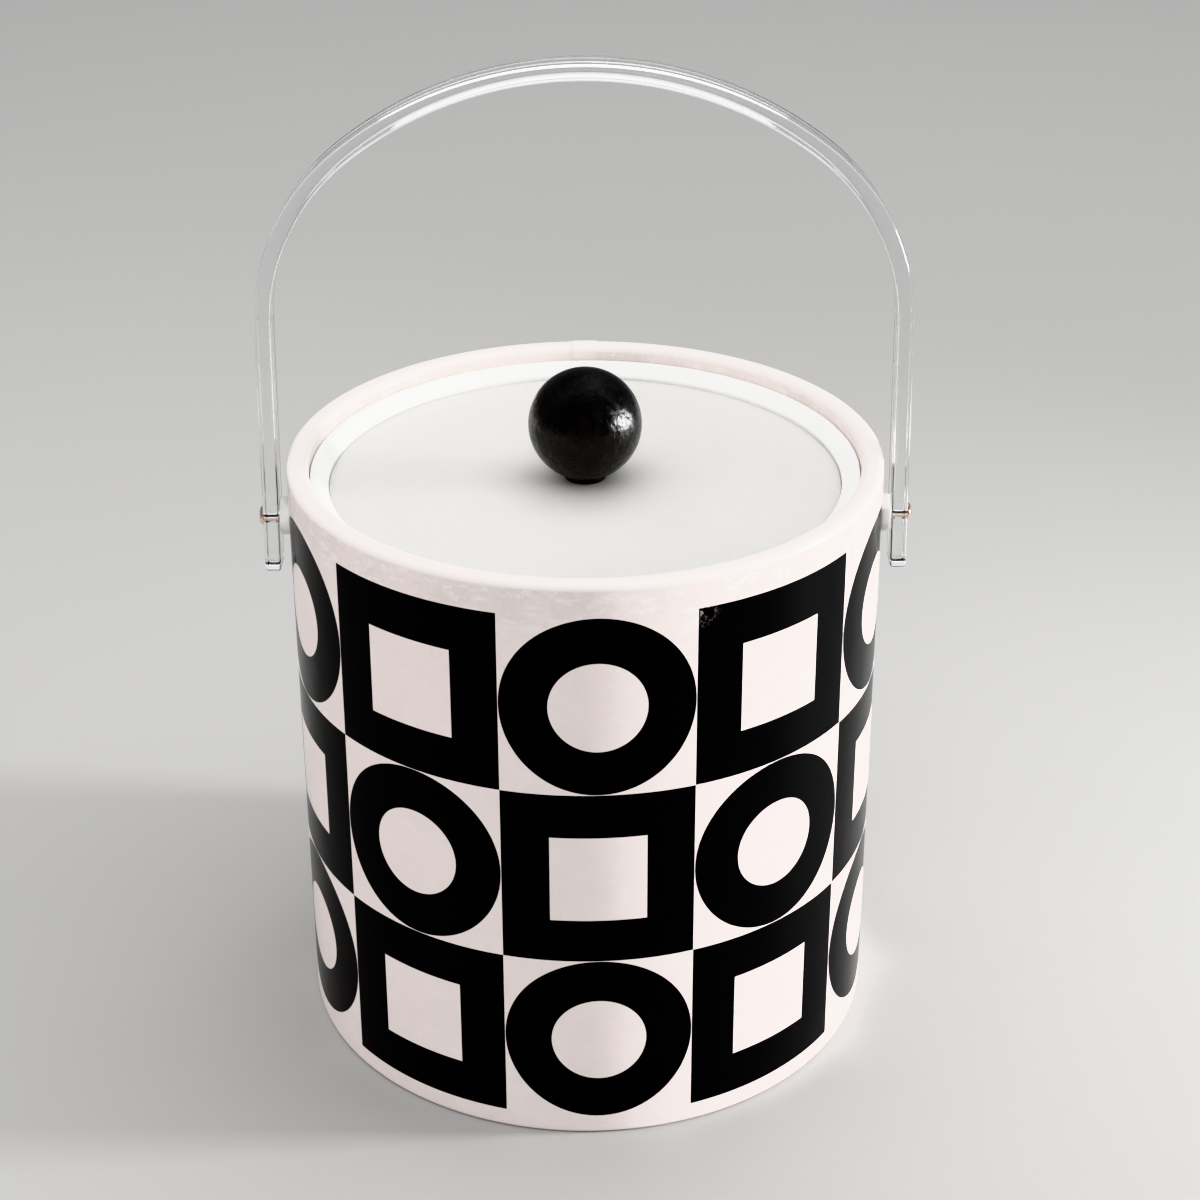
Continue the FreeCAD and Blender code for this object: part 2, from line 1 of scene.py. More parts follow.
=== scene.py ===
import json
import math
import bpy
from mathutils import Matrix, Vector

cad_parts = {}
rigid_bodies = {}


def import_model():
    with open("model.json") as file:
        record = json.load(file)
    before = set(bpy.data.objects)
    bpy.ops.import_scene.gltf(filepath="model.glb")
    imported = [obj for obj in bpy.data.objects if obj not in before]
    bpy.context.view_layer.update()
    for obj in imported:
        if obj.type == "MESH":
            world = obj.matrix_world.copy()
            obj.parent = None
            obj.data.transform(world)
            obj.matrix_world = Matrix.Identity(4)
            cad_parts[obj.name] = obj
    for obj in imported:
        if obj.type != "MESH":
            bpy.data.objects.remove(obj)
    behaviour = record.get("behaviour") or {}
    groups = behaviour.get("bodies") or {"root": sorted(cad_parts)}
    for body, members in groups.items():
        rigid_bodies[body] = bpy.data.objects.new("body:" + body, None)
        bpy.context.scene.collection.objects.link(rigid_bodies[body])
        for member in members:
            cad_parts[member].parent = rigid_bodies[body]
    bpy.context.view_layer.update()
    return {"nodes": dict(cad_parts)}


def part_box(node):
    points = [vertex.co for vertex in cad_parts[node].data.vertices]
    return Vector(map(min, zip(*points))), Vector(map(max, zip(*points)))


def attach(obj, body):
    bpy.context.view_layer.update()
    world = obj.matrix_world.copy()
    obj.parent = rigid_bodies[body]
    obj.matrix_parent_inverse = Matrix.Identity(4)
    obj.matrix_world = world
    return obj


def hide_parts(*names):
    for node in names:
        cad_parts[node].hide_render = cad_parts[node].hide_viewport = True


bl_info = {
    "name": "Ice bucket",
    "version": (1, 0, 0),
    "blender": (4, 5, 0),
    "location": "View3D > Sidebar > Ice bucket",
    "description": "Builds an ice bucket with a printed cover, a lift-off lid and a clear bail handle",
    "category": "Add Mesh",
}

import bmesh
import bpy
from mathutils import Color, Matrix, Vector, noise

# The frame is loaded into an empty scene, so that its box holds nothing else.
bpy.data.batch_remove(bpy.data.objects)
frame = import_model()

TURN_STEPS = 256        # facets round the large turned pieces
SMALL_STEPS = 64        # facets round the small turned pieces
ROUND_STEPS = 5         # facets in a rounded corner
END_STEPS = 6           # facets in the rounded corners of the strap's ends
KNOB_STEPS = 96         # facets round the knob and its collar
ARC_STEPS = 56          # facets along the ball's outline and along each bend of the strap
CROWN_STEPS = 40        # facets along each half of the strap's crown
OVERLAP_STEPS = 12      # facets across the joint of the cover
LONG_RUN = 0.03         # metres between the mesh rows of a plain surface
LID_RUN = 0.012         # metres between the mesh rows of the lid
WELD = 1e-6             # metres, under which two points are one
LOOSE_WELD = 1e-5       # the same, where two mirrored halves meet
SHARP_ANGLE = math.radians(40)
EDGE_ANGLE = math.radians(50)
FULL_TURN = 2 * math.pi
QUARTER_TURN = math.pi / 2
LIGHT_AIM = Vector((0.0, 0.0, 0.15))
WHITE_LIGHT = (1.0, 1.0, 1.0)
BLUSH_LIGHT = (1.0, 0.92, 0.91)
ACRYLIC_IOR = 1.49


def reach(node):
    """How far a node reaches along X, which is a turned piece's radius."""
    return round(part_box(node)[1].x, 6)


def top(node):
    return round(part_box(node)[1].z, 6)


def bottom(node):
    return round(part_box(node)[0].z, 6)


def length(name, description, default):
    """A size in metres."""
    return bpy.props.FloatProperty(
        name=name, description=description, default=default,
        min=0.0, precision=5, subtype="DISTANCE", unit="LENGTH",
    )


def share(name, description, default):
    """A plain ratio."""
    return bpy.props.FloatProperty(
        name=name, description=description, default=default, min=0.0, subtype="FACTOR"
    )


def turn_by(name, description, degrees):
    """An angle, given here in degrees."""
    return bpy.props.FloatProperty(
        name=name, description=description, default=math.radians(degrees),
        subtype="ANGLE", unit="ROTATION",
    )


def colour(name, description, default):
    return bpy.props.FloatVectorProperty(
        name=name, description=description, default=default,
        min=0.0, max=1.0, size=3, subtype="COLOR",
    )


def whole(name, description, default):
    return bpy.props.IntProperty(name=name, description=description, default=default, min=1)


class CoverSizes(bpy.types.PropertyGroup):
    """Printed vinyl cover and the print on it."""

    thickness: length("Thickness", "Sheet of the cover", 0.0008)
    rim_width: length("Rim width", "Rim from the outside to the recess wall", 0.0074)
    base_round: length("Base round", "Folded bottom edge", 0.0015)
    rim_outer_round: length("Rim outer round", "Outer top edge", 0.0020)
    rim_inner_round: length("Rim inner round", "Inner top edge", 0.0026)
    turn_under: length("Turn under", "Width folded under the tube", 0.0050)
    row_spacing: length("Row spacing", "Height of the mesh rows on the wall", 0.0040)
    pucker: length("Pucker", "Deepest unevenness of the sheet near the rim", 0.00014)
    overlap_width: length("Overlap width", "Width of the joint down the back", 0.0090)
    overlap_proud: length("Overlap height", "How far the joint stands proud", 0.00028)
    columns: whole("Columns", "Cells of the print round the body", 10)
    rows: whole("Rows", "Cells of the print up the body", 3)
    margin: length("Margin", "Plain cover below the print", 0.0071)
    print_turn: turn_by("Print turn", "Middle column, from the front towards the right", 2.014)
    hole: share("Hole", "Opening of a frame or ring, as a share of its cell", 0.498)
    ring: share("Ring", "Outside of a ring, as a share of its cell", 0.994)


class LinerSizes(bpy.types.PropertyGroup):
    """White moulded liner with the seat for the lid."""

    wall: length("Wall", "Wall of the moulding", 0.0018)
    land: length("Land", "Flat top of the flange", 0.0020)
    flange_round: length("Flange round", "Edges of the flange", 0.0006)
    flange_depth: length("Flange depth", "Height of the flange's edge", 0.0035)
    seat_round: length("Seat round", "Edges of the seat and of the flange's underside", 0.0003)
    step_round: length("Step round", "Edges of the step that makes the ledge", 0.0006)
    ledge: length("Ledge", "Width of the ledge under the lid", 0.0032)
    seat_rise: length("Seat rise", "Wall of the seat above the lid", 0.0010)
    draft: length("Draft", "How much the cup narrows to its floor", 0.0050)
    floor_round: length("Floor round", "Inside round of the floor", 0.0090)


class LidSizes(bpy.types.PropertyGroup):
    """Frosted lid and its ball knob."""

    clearance: length("Clearance", "Lid edge to its seat", 0.00018)
    edge_round: length("Edge round", "Top edge of the lid", 0.0005)
    bore: length("Bore", "Radius of the hole for the knob's screw", 0.0022)
    bore_round: length("Bore round", "Edges of that hole", 0.0002)
    socket_depth: length("Socket depth", "Hole in the ball for its screw", 0.0020)
    flat: length("Flat", "Radius of the flat under the ball", 0.00775)
    flat_round: length("Flat round", "Edge of that flat", 0.0005)
    collar_round: length("Collar round", "Edges of the collar", 0.0003)


class BailSizes(bpy.types.PropertyGroup):
    """Clear strap that makes the handle."""

    width: length("Width", "Strap, along the swing", 0.0130)
    thickness: length("Thickness", "Strap, across the swing", 0.0054)
    side_gap: length("Side gap", "Between the strap and its spacer", 0.00025)
    tail: length("Tail", "Strap below the pivot line", 0.0188)
    spring: length("Spring", "Pivot line to the start of the bend", 0.0709)
    lean: length("Lean", "How far each leg leans in over that height", 0.0013)
    corner: length("Corner", "Outer radius of the bends above the legs", 0.0770)
    flatness: length("Flatness", "Crown radius beyond half the outer width", 0.0184)
    end_round: length("End round", "Corners at the ends of the strap", 0.0018)
    long_round: length("Long round", "Long edges of the strap", 0.0012)
    bore: length("Bore", "Radius of the two pivot bores", 0.00158)


class PivotSizes(bpy.types.PropertyGroup):
    """Spacers and screws that the bail turns on."""

    spacer_bore: length("Spacer bore", "Radius of the hole in a spacer", 0.0017)
    spacer_round: length("Spacer round", "Outer edges of a spacer", 0.0009)
    fine_round: length("Fine round", "Bore of a spacer and underside of a head", 0.0002)
    shank: length("Shank", "Radius of a screw's shank", 0.0015)
    tip_round: length("Tip round", "Tip of a screw and upper edge of its head", 0.0003)
    crown_share: share("Crown share", "Radius of a head's crown, as a share of the head", 0.62)
    crown_round: length("Crown round", "Edge of that crown", 0.0008)
    head_depth: length("Head depth", "Height of a screw's head", 0.0016)
    head_edge: length("Head edge", "Straight edge of a screw's head", 0.0008)
    slot_width: length("Slot width", "Driving slot of a screw", 0.0009)
    slot_depth: length("Slot depth", "Driving slot of a screw", 0.0007)


class BaseSizes(bpy.types.PropertyGroup):
    """Board in the bottom of the tube."""

    foot_width: length("Foot width", "Ring that the bucket stands on", 0.0100)
    foot_height: length("Foot height", "Depth of the hollow inside that ring", 0.0016)
    foot_gap: length("Foot gap", "Between the foot and the folded cover", 0.0004)
    edge_round: length("Edge round", "Edges of the foot", 0.0005)


class FinishColours(bpy.types.PropertyGroup):
    """Colours of the finishes."""

    vinyl: colour("Vinyl", "Ground of the printed cover", (0.860, 0.775, 0.757))
    aged: colour("Aged vinyl", "Patches of the cover that have lost their warm tint", (0.770, 0.700, 0.672))
    # Pale tone that is partly painted light: the flecks near the rim, which stand partly for highlights on
    # small wrinkles, and the painted light on the rim top.
    fleck: colour("Fleck", "Small pale marks in the cover near the rim", (0.900, 0.865, 0.848))
    ink: colour("Ink", "Print on the cover", (0.0018, 0.0018, 0.0020))
    liner: colour("Liner", "White moulding", (0.930, 0.930, 0.915))
    frosted: colour("Frosted acrylic", "Lid", (0.705, 0.700, 0.662))
    clear: colour("Clear acrylic", "Bail", (0.940, 0.955, 0.950))
    lacquer: colour("Lacquer", "Knob", (0.0022, 0.0020, 0.0020))
    nylon: colour("Nylon", "Spacers", (0.880, 0.875, 0.855))
    copper: colour("Copper", "Pivot screws", (0.890, 0.710, 0.610))
    steel: colour("Steel", "Hidden washers, nuts and the knob's screw", (0.560, 0.560, 0.570))
    board: colour("Board", "Tube, rim ring and base", (0.330, 0.240, 0.150))
    foam: colour("Foam", "Insulation", (0.840, 0.830, 0.790))
    floor: colour("Floor", "Surface the bucket stands on", (0.385, 0.382, 0.378))
    backdrop: colour("Backdrop", "Light all round", (0.900, 0.905, 0.915))


class StudioSettings(bpy.types.PropertyGroup):
    """Camera, floor and lights."""

    lens: bpy.props.FloatProperty(
        name="Lens", description="Focal length in millimetres on a 36 mm wide sensor",
        default=73.1856, subtype="DISTANCE_CAMERA",
    )
    distance: length("Distance", "Camera to the point it goes round", 0.8667631)
    height: length("Height", "Height of that point", 0.105)
    elevation: turn_by("Elevation", "Camera above that point", 30.305)
    tip: turn_by("Tip", "Camera tipped down from that point", -4.817)
    swing: turn_by("Swing", "Camera turned to one side of that point", 0.342)
    roll: turn_by("Roll", "Camera turned about its own line of sight", 0.350)
    shift: bpy.props.FloatProperty(
        name="Shift", description="Vertical shift of the lens, as a share of the frame",
        default=-0.079, min=-1.0, max=1.0, subtype="FACTOR",
    )
    floor_size: length("Floor size", "Width of the floor", 5.4)
    backdrop_strength: share("Backdrop strength", "Brightness of the backdrop where it is seen", 0.95)
    backdrop_light: share("Backdrop light", "Light that the backdrop gives", 0.26)


def held(name, description, kind):
    return bpy.props.PointerProperty(name=name, description=description, type=kind)


class BucketSettings(bpy.types.PropertyGroup):
    """All sizes and colours of the ice bucket."""

    cover: held("Cover", "Printed cover", CoverSizes)
    liner: held("Liner", "White liner", LinerSizes)
    lid: held("Lid", "Lid and knob", LidSizes)
    bail: held("Bail", "Clear handle", BailSizes)
    pivots: held("Pivots", "Pivots", PivotSizes)
    base: held("Base", "Base board", BaseSizes)
    colours: held("Colours", "Finishes", FinishColours)
    studio: held("Studio", "Stage", StudioSettings)


# Mesh helpers


def round_off(bm, geom, size, steps, affect="EDGES"):
    bmesh.ops.bevel(
        bm, geom=geom, offset=size, offset_type="OFFSET", affect=affect,
        segments=steps, profile=0.5, material=-1,
    )


def sweep(bm, geom, centre, axis, angle, steps, merge=False):
    """Carry points, runs or faces on round an axis, and give back the far end."""
    swept = bmesh.ops.spin(
        bm, geom=geom, cent=centre, axis=axis, dvec=(0, 0, 0), angle=angle, steps=steps,
        use_merge=merge, use_normal_flip=False, use_duplicate=False,
    )
    return swept["geom_last"]


def first_of(items, kind):
    return next(item for item in items if isinstance(item, kind))


def wire(bm, corners, closed=True):
    """Straight runs through (radius, height, round) corners, each rounded by its own amount."""
    spots = [bm.verts.new((radius, 0.0, height)) for radius, height, _ in corners]
    following = spots[1:] + spots[:1] if closed else spots[1:]
    for start, end in zip(spots, following):
        bm.edges.new((start, end))
    for spot, (_, _, size) in zip(spots, corners):
        if size:
            round_off(bm, [spot], size, ROUND_STEPS, "VERTICES")


def split_runs(bm, longest):
    """Cut each run of a wire into pieces no longer than longest."""
    for edge in bm.edges[:]:
        cuts = int(edge.calc_length() / longest)
        if cuts:
            bmesh.ops.subdivide_edges(bm, edges=[edge], cuts=cuts)


def tidy(bm):
    bmesh.ops.remove_doubles(bm, verts=bm.verts[:], dist=WELD)
    bmesh.ops.recalc_face_normals(bm, faces=bm.faces[:])


def spin_wire(bm, steps=TURN_STEPS):
    """Turn a wire once round the Z axis into a closed skin."""
    sweep(bm, bm.verts[:] + bm.edges[:], (0, 0, 0), (0, 0, 1), FULL_TURN, steps, merge=True)
    tidy(bm)


def turned(corners, steps=TURN_STEPS, longest=None):
    """A shape turned round the Z axis from its closed outline."""
    bm = bmesh.new()
    wire(bm, corners)
    if longest:
        split_runs(bm, longest)
    spin_wire(bm, steps)
    return bm


def lay_across(bm, side, height):
    """Lay a shape made along Z on a line along X at a height, to the right (1) or left (-1)."""
    turning = Matrix.Rotation(side * QUARTER_TURN, 3, "Y")
    bmesh.ops.rotate(bm, verts=bm.verts[:], cent=(0, 0, 0), matrix=turning)
    bmesh.ops.translate(bm, verts=bm.verts[:], vec=(0, 0, height))


def rod_across(radius, start, end, height):
    """A round rod along X between two distances from the middle, to cut with."""
    bm = bmesh.new()
    place = Matrix.Translation(((start + end) / 2, 0, height)) @ Matrix.Rotation(QUARTER_TURN, 4, "Y")
    bmesh.ops.create_cone(
        bm, cap_ends=True, segments=SMALL_STEPS, radius1=radius, radius2=radius,
        depth=abs(end - start), matrix=place,
    )
    return bm


def block(centre, size):
    """A box to cut with."""
    bm = bmesh.new()
    place = Matrix.Translation(centre) @ Matrix.Diagonal((*size, 1.0))
    bmesh.ops.create_cube(bm, size=1.0, matrix=place)
    return bm


def plain_object(name, bm):
    mesh = bpy.data.meshes.new(name)
    bm.to_mesh(mesh)
    bm.free()
    made = bpy.data.objects.new(name, mesh)
    bpy.context.scene.collection.objects.link(made)
    return made


def cut_away(bm, tools):
    """A shape less each of its tools."""
    blank = plain_object("blank", bm)
    cutters = [plain_object("cutter", tool) for tool in tools]
    for cutter in cutters:
        cut = blank.modifiers.new("cut", "BOOLEAN")
        cut.operation = "DIFFERENCE"
        cut.solver = "EXACT"
        cut.object = cutter
    shape = bmesh.new()
    shape.from_object(blank, bpy.context.evaluated_depsgraph_get())
    for used in (blank, *cutters):
        bpy.data.meshes.remove(used.data)
    if not shape.faces:
        raise RuntimeError("a cut left nothing")
    tidy(shape)
    return shape


def publish(bm, name, body, finish, slot, *replaced):
    """Make a shape into a piece that rides on a body and wears the given finish. The slot is not used."""
    piece = plain_object(name, bm)
    piece.data.shade_smooth()
    piece.data.set_sharp_from_angle(angle=SHARP_ANGLE)
    piece.data.materials.append(finish)
    shading = piece.modifiers.new("Even shading", "WEIGHTED_NORMAL")
    shading.keep_sharp = True
    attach(piece, body)
    if replaced:
        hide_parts(*replaced)
    return piece


# Finishes


class Finish:
    """A material built one node at a time. Inputs may be numbers, colours or other outputs."""

    def __init__(self, name):
        self.material = bpy.data.materials.new(name)
        self.material.use_nodes = True
        self.tree = self.material.node_tree
        self.surface = self.tree.nodes["Principled BSDF"]
        self.spot = self.add("ShaderNodeTexCoord").outputs["Object"]

    def feed(self, socket, value):
        if isinstance(value, bpy.types.NodeSocket):
            self.tree.links.new(value, socket)
        elif isinstance(value, (tuple, Color)):
            # A colour socket takes a fourth number, a vector socket doesn't.
            socket.default_value = (*value, 1.0)[:len(socket.default_value)]
        else:
            socket.default_value = value

    def add(self, kind, inputs=None, **settings):
        node = self.tree.nodes.new(kind)
        for name, value in settings.items():
            setattr(node, name, value)
        for name, value in (inputs or {}).items():
            self.feed(node.inputs[name], value)
        return node

    def calc(self, operation, *values):
        node = self.add("ShaderNodeMath", operation=operation)
        for socket, value in zip(node.inputs, values):
            self.feed(socket, value)
        return node.outputs[0]

    def axes(self):
        node = self.add("ShaderNodeSeparateXYZ", {"Vector": self.spot})
        return node.outputs["X"], node.outputs["Y"], node.outputs["Z"]

    def scaled(self, low, high, value, first=0.0, second=1.0):
        """Goes smoothly from first to second as value goes from low to high."""
        inputs = {"Value": value, "From Min": low, "From Max": high, "To Min": first, "To Max": second}
        return self.add("ShaderNodeMapRange", inputs, interpolation_type="SMOOTHSTEP").outputs["Result"]

    def noise(self, scale, detail=3.0, roughness=0.5, stretch=(1.0, 1.0, 1.0)):
        """Even noise with that many features per metre."""
        spot = self.add("ShaderNodeMapping", {"Vector": self.spot, "Scale": stretch}).outputs[0]
        inputs = {"Vector": spot, "Scale": scale, "Detail": detail, "Roughness": roughness}
        return self.add("ShaderNodeTexNoise", inputs).outputs["Fac"]

    def blend(self, factor, first, second):
        """A mix of two colours."""
        node = self.add("ShaderNodeMix", data_type="RGBA")
        for index, value in ((0, factor), (6, first), (7, second)):
            self.feed(node.inputs[index], value)
        return node.outputs[2]

    def varied(self, value, spread, least):
        """A number that goes up from least by spread as value goes from 0 to 1."""
        return self.calc("MULTIPLY_ADD", value, spread, least)

    def bump(self, height, distance, strength=1.0, before=None):
        inputs = {"Height": height, "Distance": distance, "Strength": strength}
        if before:
            inputs["Normal"] = before
        return self.add("ShaderNodeBump", inputs).outputs["Normal"]

    def shade(self, **inputs):
        """Set the shader's own sockets, by name with underscores for spaces."""
        for name, value in inputs.items():
            self.feed(self.surface.inputs[name.replace("_", " ")], value)
        return self.material


def darker(tone, factor):
    return tuple(channel * factor for channel in tone)


def vinyl_ground(finish, colours, z, wear_and_glints):
    """The sheet's colour: warm white, mottled where hands have rubbed it near the rim, with pale flecks
    there that are partly marks and partly painted highlights on small wrinkles of the sheet.
    """
    rim = top("vinyl_wrap")
    wear_and_glint_from = rim - 0.026
    wear_and_glint_most = rim - 0.008
    near_rim = finish.scaled(wear_and_glint_from, wear_and_glint_most, z, first=0.25 * wear_and_glints, second=0.90 * wear_and_glints)
    cloud = finish.scaled(0.42, 0.66, finish.noise(62.0, detail=5.0, roughness=0.65))
    ground = finish.blend(finish.calc("MULTIPLY", cloud, near_rim), colours.vinyl, colours.aged)
    grain = finish.scaled(0.35, 0.70, finish.noise(900.0, roughness=0.6), second=0.35)
    ground = finish.blend(finish.calc("MULTIPLY", grain, near_rim), ground, darker(colours.vinyl, 0.82))
    # Pale flecks near the rim: partly marks in the sheet, partly painted highlights on its small wrinkles
    # and bubbles.
    flat_marks = (1.0, 1.0, 2.0)
    fleck_and_glint_strength = 0.80
    flecks = finish.noise(130.0, detail=7.0, roughness=0.75, stretch=flat_marks)
    flecks = finish.scaled(0.50, 0.61, flecks)
    flecks = finish.calc("MULTIPLY", flecks, finish.calc("MULTIPLY", near_rim, fleck_and_glint_strength))
    return finish.blend(flecks, ground, colours.fleck)


def rim_vinyl(colours):
    """The same sheet where it turns over the rim, stretched smooth and glossier, and painted lighter than
    the wall to stand in for the light and highlight on its top.
    """
    finish = Finish("Rim vinyl")
    z = finish.axes()[2]
    ground = vinyl_ground(finish, colours, z, wear_and_glints=0.35)
    # Painted light: the rim top is blended this far towards the pale tone, for the light and highlight that
    # fall on it.
    painted_rim_light = 0.55
    return finish.shade(
        Base_Color=finish.blend(painted_rim_light, ground, colours.fleck),
        Roughness=finish.varied(finish.noise(90.0, detail=2.0), 0.10, 0.14),
        Normal=finish.bump(finish.noise(160.0, detail=2.0), 0.0003, 0.25),
        Specular_IOR_Level=0.6,
    )


def printed_vinyl(cover, colours):
    """The sheet on the wall, printed with a chequer of square frames and rings."""
    finish = Finish("Printed vinyl")
    x, y, z = finish.axes()
    radius = reach("vinyl_wrap")
    cell = FULL_TURN * radius / cover.columns
    per_turn = cover.columns / FULL_TURN
    azimuth = finish.calc("ARCTAN2", x, finish.calc("MULTIPLY", y, -1.0))
    column = finish.calc("MULTIPLY_ADD", azimuth, per_turn, 0.5 - cover.print_turn * per_turn)
    row = finish.calc("MULTIPLY_ADD", z, 1 / cell, -cover.margin / cell)
    column_number = finish.calc("FLOOR", column)
    row_number = finish.calc("FLOOR", row)
    across = finish.calc("SUBTRACT", finish.calc("SUBTRACT", column, column_number), 0.5)
    up = finish.calc("SUBTRACT", finish.calc("SUBTRACT", row, row_number), 0.5)
    across = finish.calc("ABSOLUTE", across)
    up = finish.calc("ABSOLUTE", up)
    square = finish.calc("MAXIMUM", across, up)
    squared = finish.calc("MULTIPLY_ADD", up, up, finish.calc("MULTIPLY", across, across))
    ring = finish.calc("SQRT", squared)
    # The sum is kept positive by an even number of cells, so that its remainder is 0 or 1.
    total = finish.calc("ADD", finish.calc("ADD", column_number, row_number), 10.0 * cover.columns)
    is_square = finish.calc("MODULO", total, 2.0)
    difference = finish.calc("SUBTRACT", square, ring)
    out = finish.calc("MULTIPLY_ADD", is_square, difference, ring)
    # A frame fills its cell, so its limit lies past the cell's edge.
    frame_extra = 0.1
    limit = finish.calc("MULTIPLY_ADD", is_square, frame_extra, cover.ring / 2)
    # The ink fades over this share of a cell, so that its edges aren't jagged.
    soft = 0.0012
    inside = finish.scaled(cover.hole / 2 - soft, cover.hole / 2 + soft, out)
    past = finish.calc("SUBTRACT", out, limit)
    outside = finish.scaled(-soft, soft, past, first=1.0, second=0.0)
    above = finish.scaled(0.0, 2 * soft, row)
    below = finish.scaled(cover.rows - 2 * soft, cover.rows, row, first=1.0, second=0.0)
    printed_rows = finish.calc("MULTIPLY", above, below)
    ink = finish.calc("MULTIPLY", finish.calc("MULTIPLY", inside, outside), printed_rows)
    ground = vinyl_ground(finish, colours, z, wear_and_glints=1.0)
    # One corner of the print near the rim has pale patches where the ink is thinned, partly a scuff and
    # partly painted highlights on small wrinkles of the sheet.
    scuff_and_glint_azimuth = cover.print_turn + 0.5 / per_turn
    scuff_and_glint_height = cover.margin + cover.rows * cell
    scuff_and_glint_spot = (radius * math.sin(scuff_and_glint_azimuth), -radius * math.cos(scuff_and_glint_azimuth), scuff_and_glint_height)
    away = finish.add("ShaderNodeVectorMath", {0: finish.spot, 1: scuff_and_glint_spot}, operation="DISTANCE")
    near = finish.scaled(0.001, 0.009, away.outputs["Value"], first=1.0, second=0.0)
    ragged = finish.scaled(0.50, 0.62, finish.noise(640.0, detail=5.0, roughness=0.7))
    lost = 0.24
    ink_kept = finish.varied(finish.calc("MULTIPLY", near, ragged), -lost, 1.0)
    ink = finish.calc("MULTIPLY", ink, ink_kept)
    normal = finish.bump(finish.noise(60.0, detail=1.0), 0.0004, 0.30)
    return finish.shade(
        Base_Color=finish.blend(ink, ground, colours.ink),
        Roughness=finish.varied(finish.noise(90.0, detail=2.0), 0.10, 0.16),
        Normal=finish.bump(ink, 0.00002, 0.6, normal),
        Specular_IOR_Level=0.07,
    )


def white_moulding(colours):
    """Bright glossy moulding with a faint unevenness."""
    finish = Finish("White moulding")
    patches = finish.scaled(0.3, 0.7, finish.noise(30.0))
    return finish.shade(
        Base_Color=finish.blend(patches, colours.liner, darker(colours.liner, 0.97)),
        Roughness=finish.varied(finish.noise(300.0), 0.10, 0.24),
        Normal=finish.bump(finish.noise(60.0, detail=2.0), 0.0003, 0.12),
        Subsurface_Weight=0.15,
        Subsurface_Radius=(0.002, 0.002, 0.0016),
        Subsurface_Scale=1.0,
    )


def frosted_acrylic(colours):
    """Translucent sheet, frosted so finely that it looks even."""
    finish = Finish("Frosted acrylic")
    patches = finish.scaled(0.3, 0.7, finish.noise(18.0))
    return finish.shade(
        Base_Color=finish.blend(patches, colours.frosted, darker(colours.frosted, 0.97)),
        Roughness=finish.varied(finish.noise(160.0), 0.08, 0.36),
        Normal=finish.bump(finish.noise(2600.0, detail=2.0), 0.00002, 0.5),
        Transmission_Weight=0.10,
        IOR=ACRYLIC_IOR,
        Subsurface_Weight=0.70,
        Subsurface_Radius=(0.010, 0.011, 0.010),
        Subsurface_Scale=1.0,
    )


def clear_acrylic(bail, colours):
    """Polished clear acrylic, with a faint forming mark across each leg where the bend starts."""
    finish = Finish("Clear acrylic")
    z = finish.axes()[2]
    mark_height = pivot_height() + bail.spring
    distance = finish.calc("ABSOLUTE", finish.calc("SUBTRACT", z, mark_height))
    mark_width = 0.0004
    mark = finish.scaled(0.0, mark_width, distance, first=1.0, second=0.0)
    smear = finish.noise(70.0, detail=4.0, roughness=0.6, stretch=(1.0, 1.0, 0.25))
    smear = finish.scaled(0.55, 0.80, smear)
    ripple = finish.noise(45.0, detail=1.0, roughness=0.4, stretch=(1.0, 1.0, 0.3))
    return finish.shade(
        Base_Color=colours.clear,
        Roughness=finish.varied(mark, 0.25, finish.varied(smear, 0.02, 0.006)),
        Normal=finish.bump(mark, 0.0001, 0.8, finish.bump(ripple, 0.0004, 0.20)),
        Transmission_Weight=1.0,
        IOR=ACRYLIC_IOR,
    )


def black_lacquer(colours):
    """Satin black over turned wood, with faint turning lines."""
    finish = Finish("Black lacquer")
    grain = finish.noise(420.0, detail=4.0, roughness=0.65, stretch=(1.0, 1.0, 0.6))
    rings = finish.noise(900.0, detail=2.0, stretch=(0.02, 0.02, 1.0))
    thin_lacquer = (0.0060, 0.0052, 0.0048)
    return finish.shade(
        Base_Color=finish.blend(finish.scaled(0.45, 0.75, grain), colours.lacquer, thin_lacquer),
        Roughness=finish.scaled(0.38, 0.62, grain, first=0.19, second=0.33),
        Normal=finish.bump(rings, 0.00003, 0.4, finish.bump(grain, 0.0005, 0.8)),
        Specular_IOR_Level=0.30,
    )


def white_nylon(colours):
    finish = Finish("White nylon")
    return finish.shade(
        Base_Color=finish.blend(finish.noise(400.0), colours.nylon, darker(colours.nylon, 0.95)),
        Roughness=finish.varied(finish.noise(700.0), 0.10, 0.30),
        Normal=finish.bump(finish.noise(900.0), 0.00003, 0.4),
        Subsurface_Weight=0.5,
        Subsurface_Radius=(0.002, 0.002, 0.0018),
        Subsurface_Scale=1.0,
    )


def bright_metal(name, tone, roughness, brushed):
    """Plated metal with fine lines, drawn out by the brushed stretch."""
    finish = Finish(name)
    lines = finish.noise(1800.0, detail=2.0, stretch=brushed)
    stain = finish.scaled(0.4, 0.75, finish.noise(350.0))
    return finish.shade(
        Base_Color=finish.blend(stain, tone, darker(tone, 0.82)),
        Metallic=1.0,
        Roughness=finish.varied(lines, 0.12, roughness),
        Normal=finish.bump(lines, 0.00002, 0.5),
    )


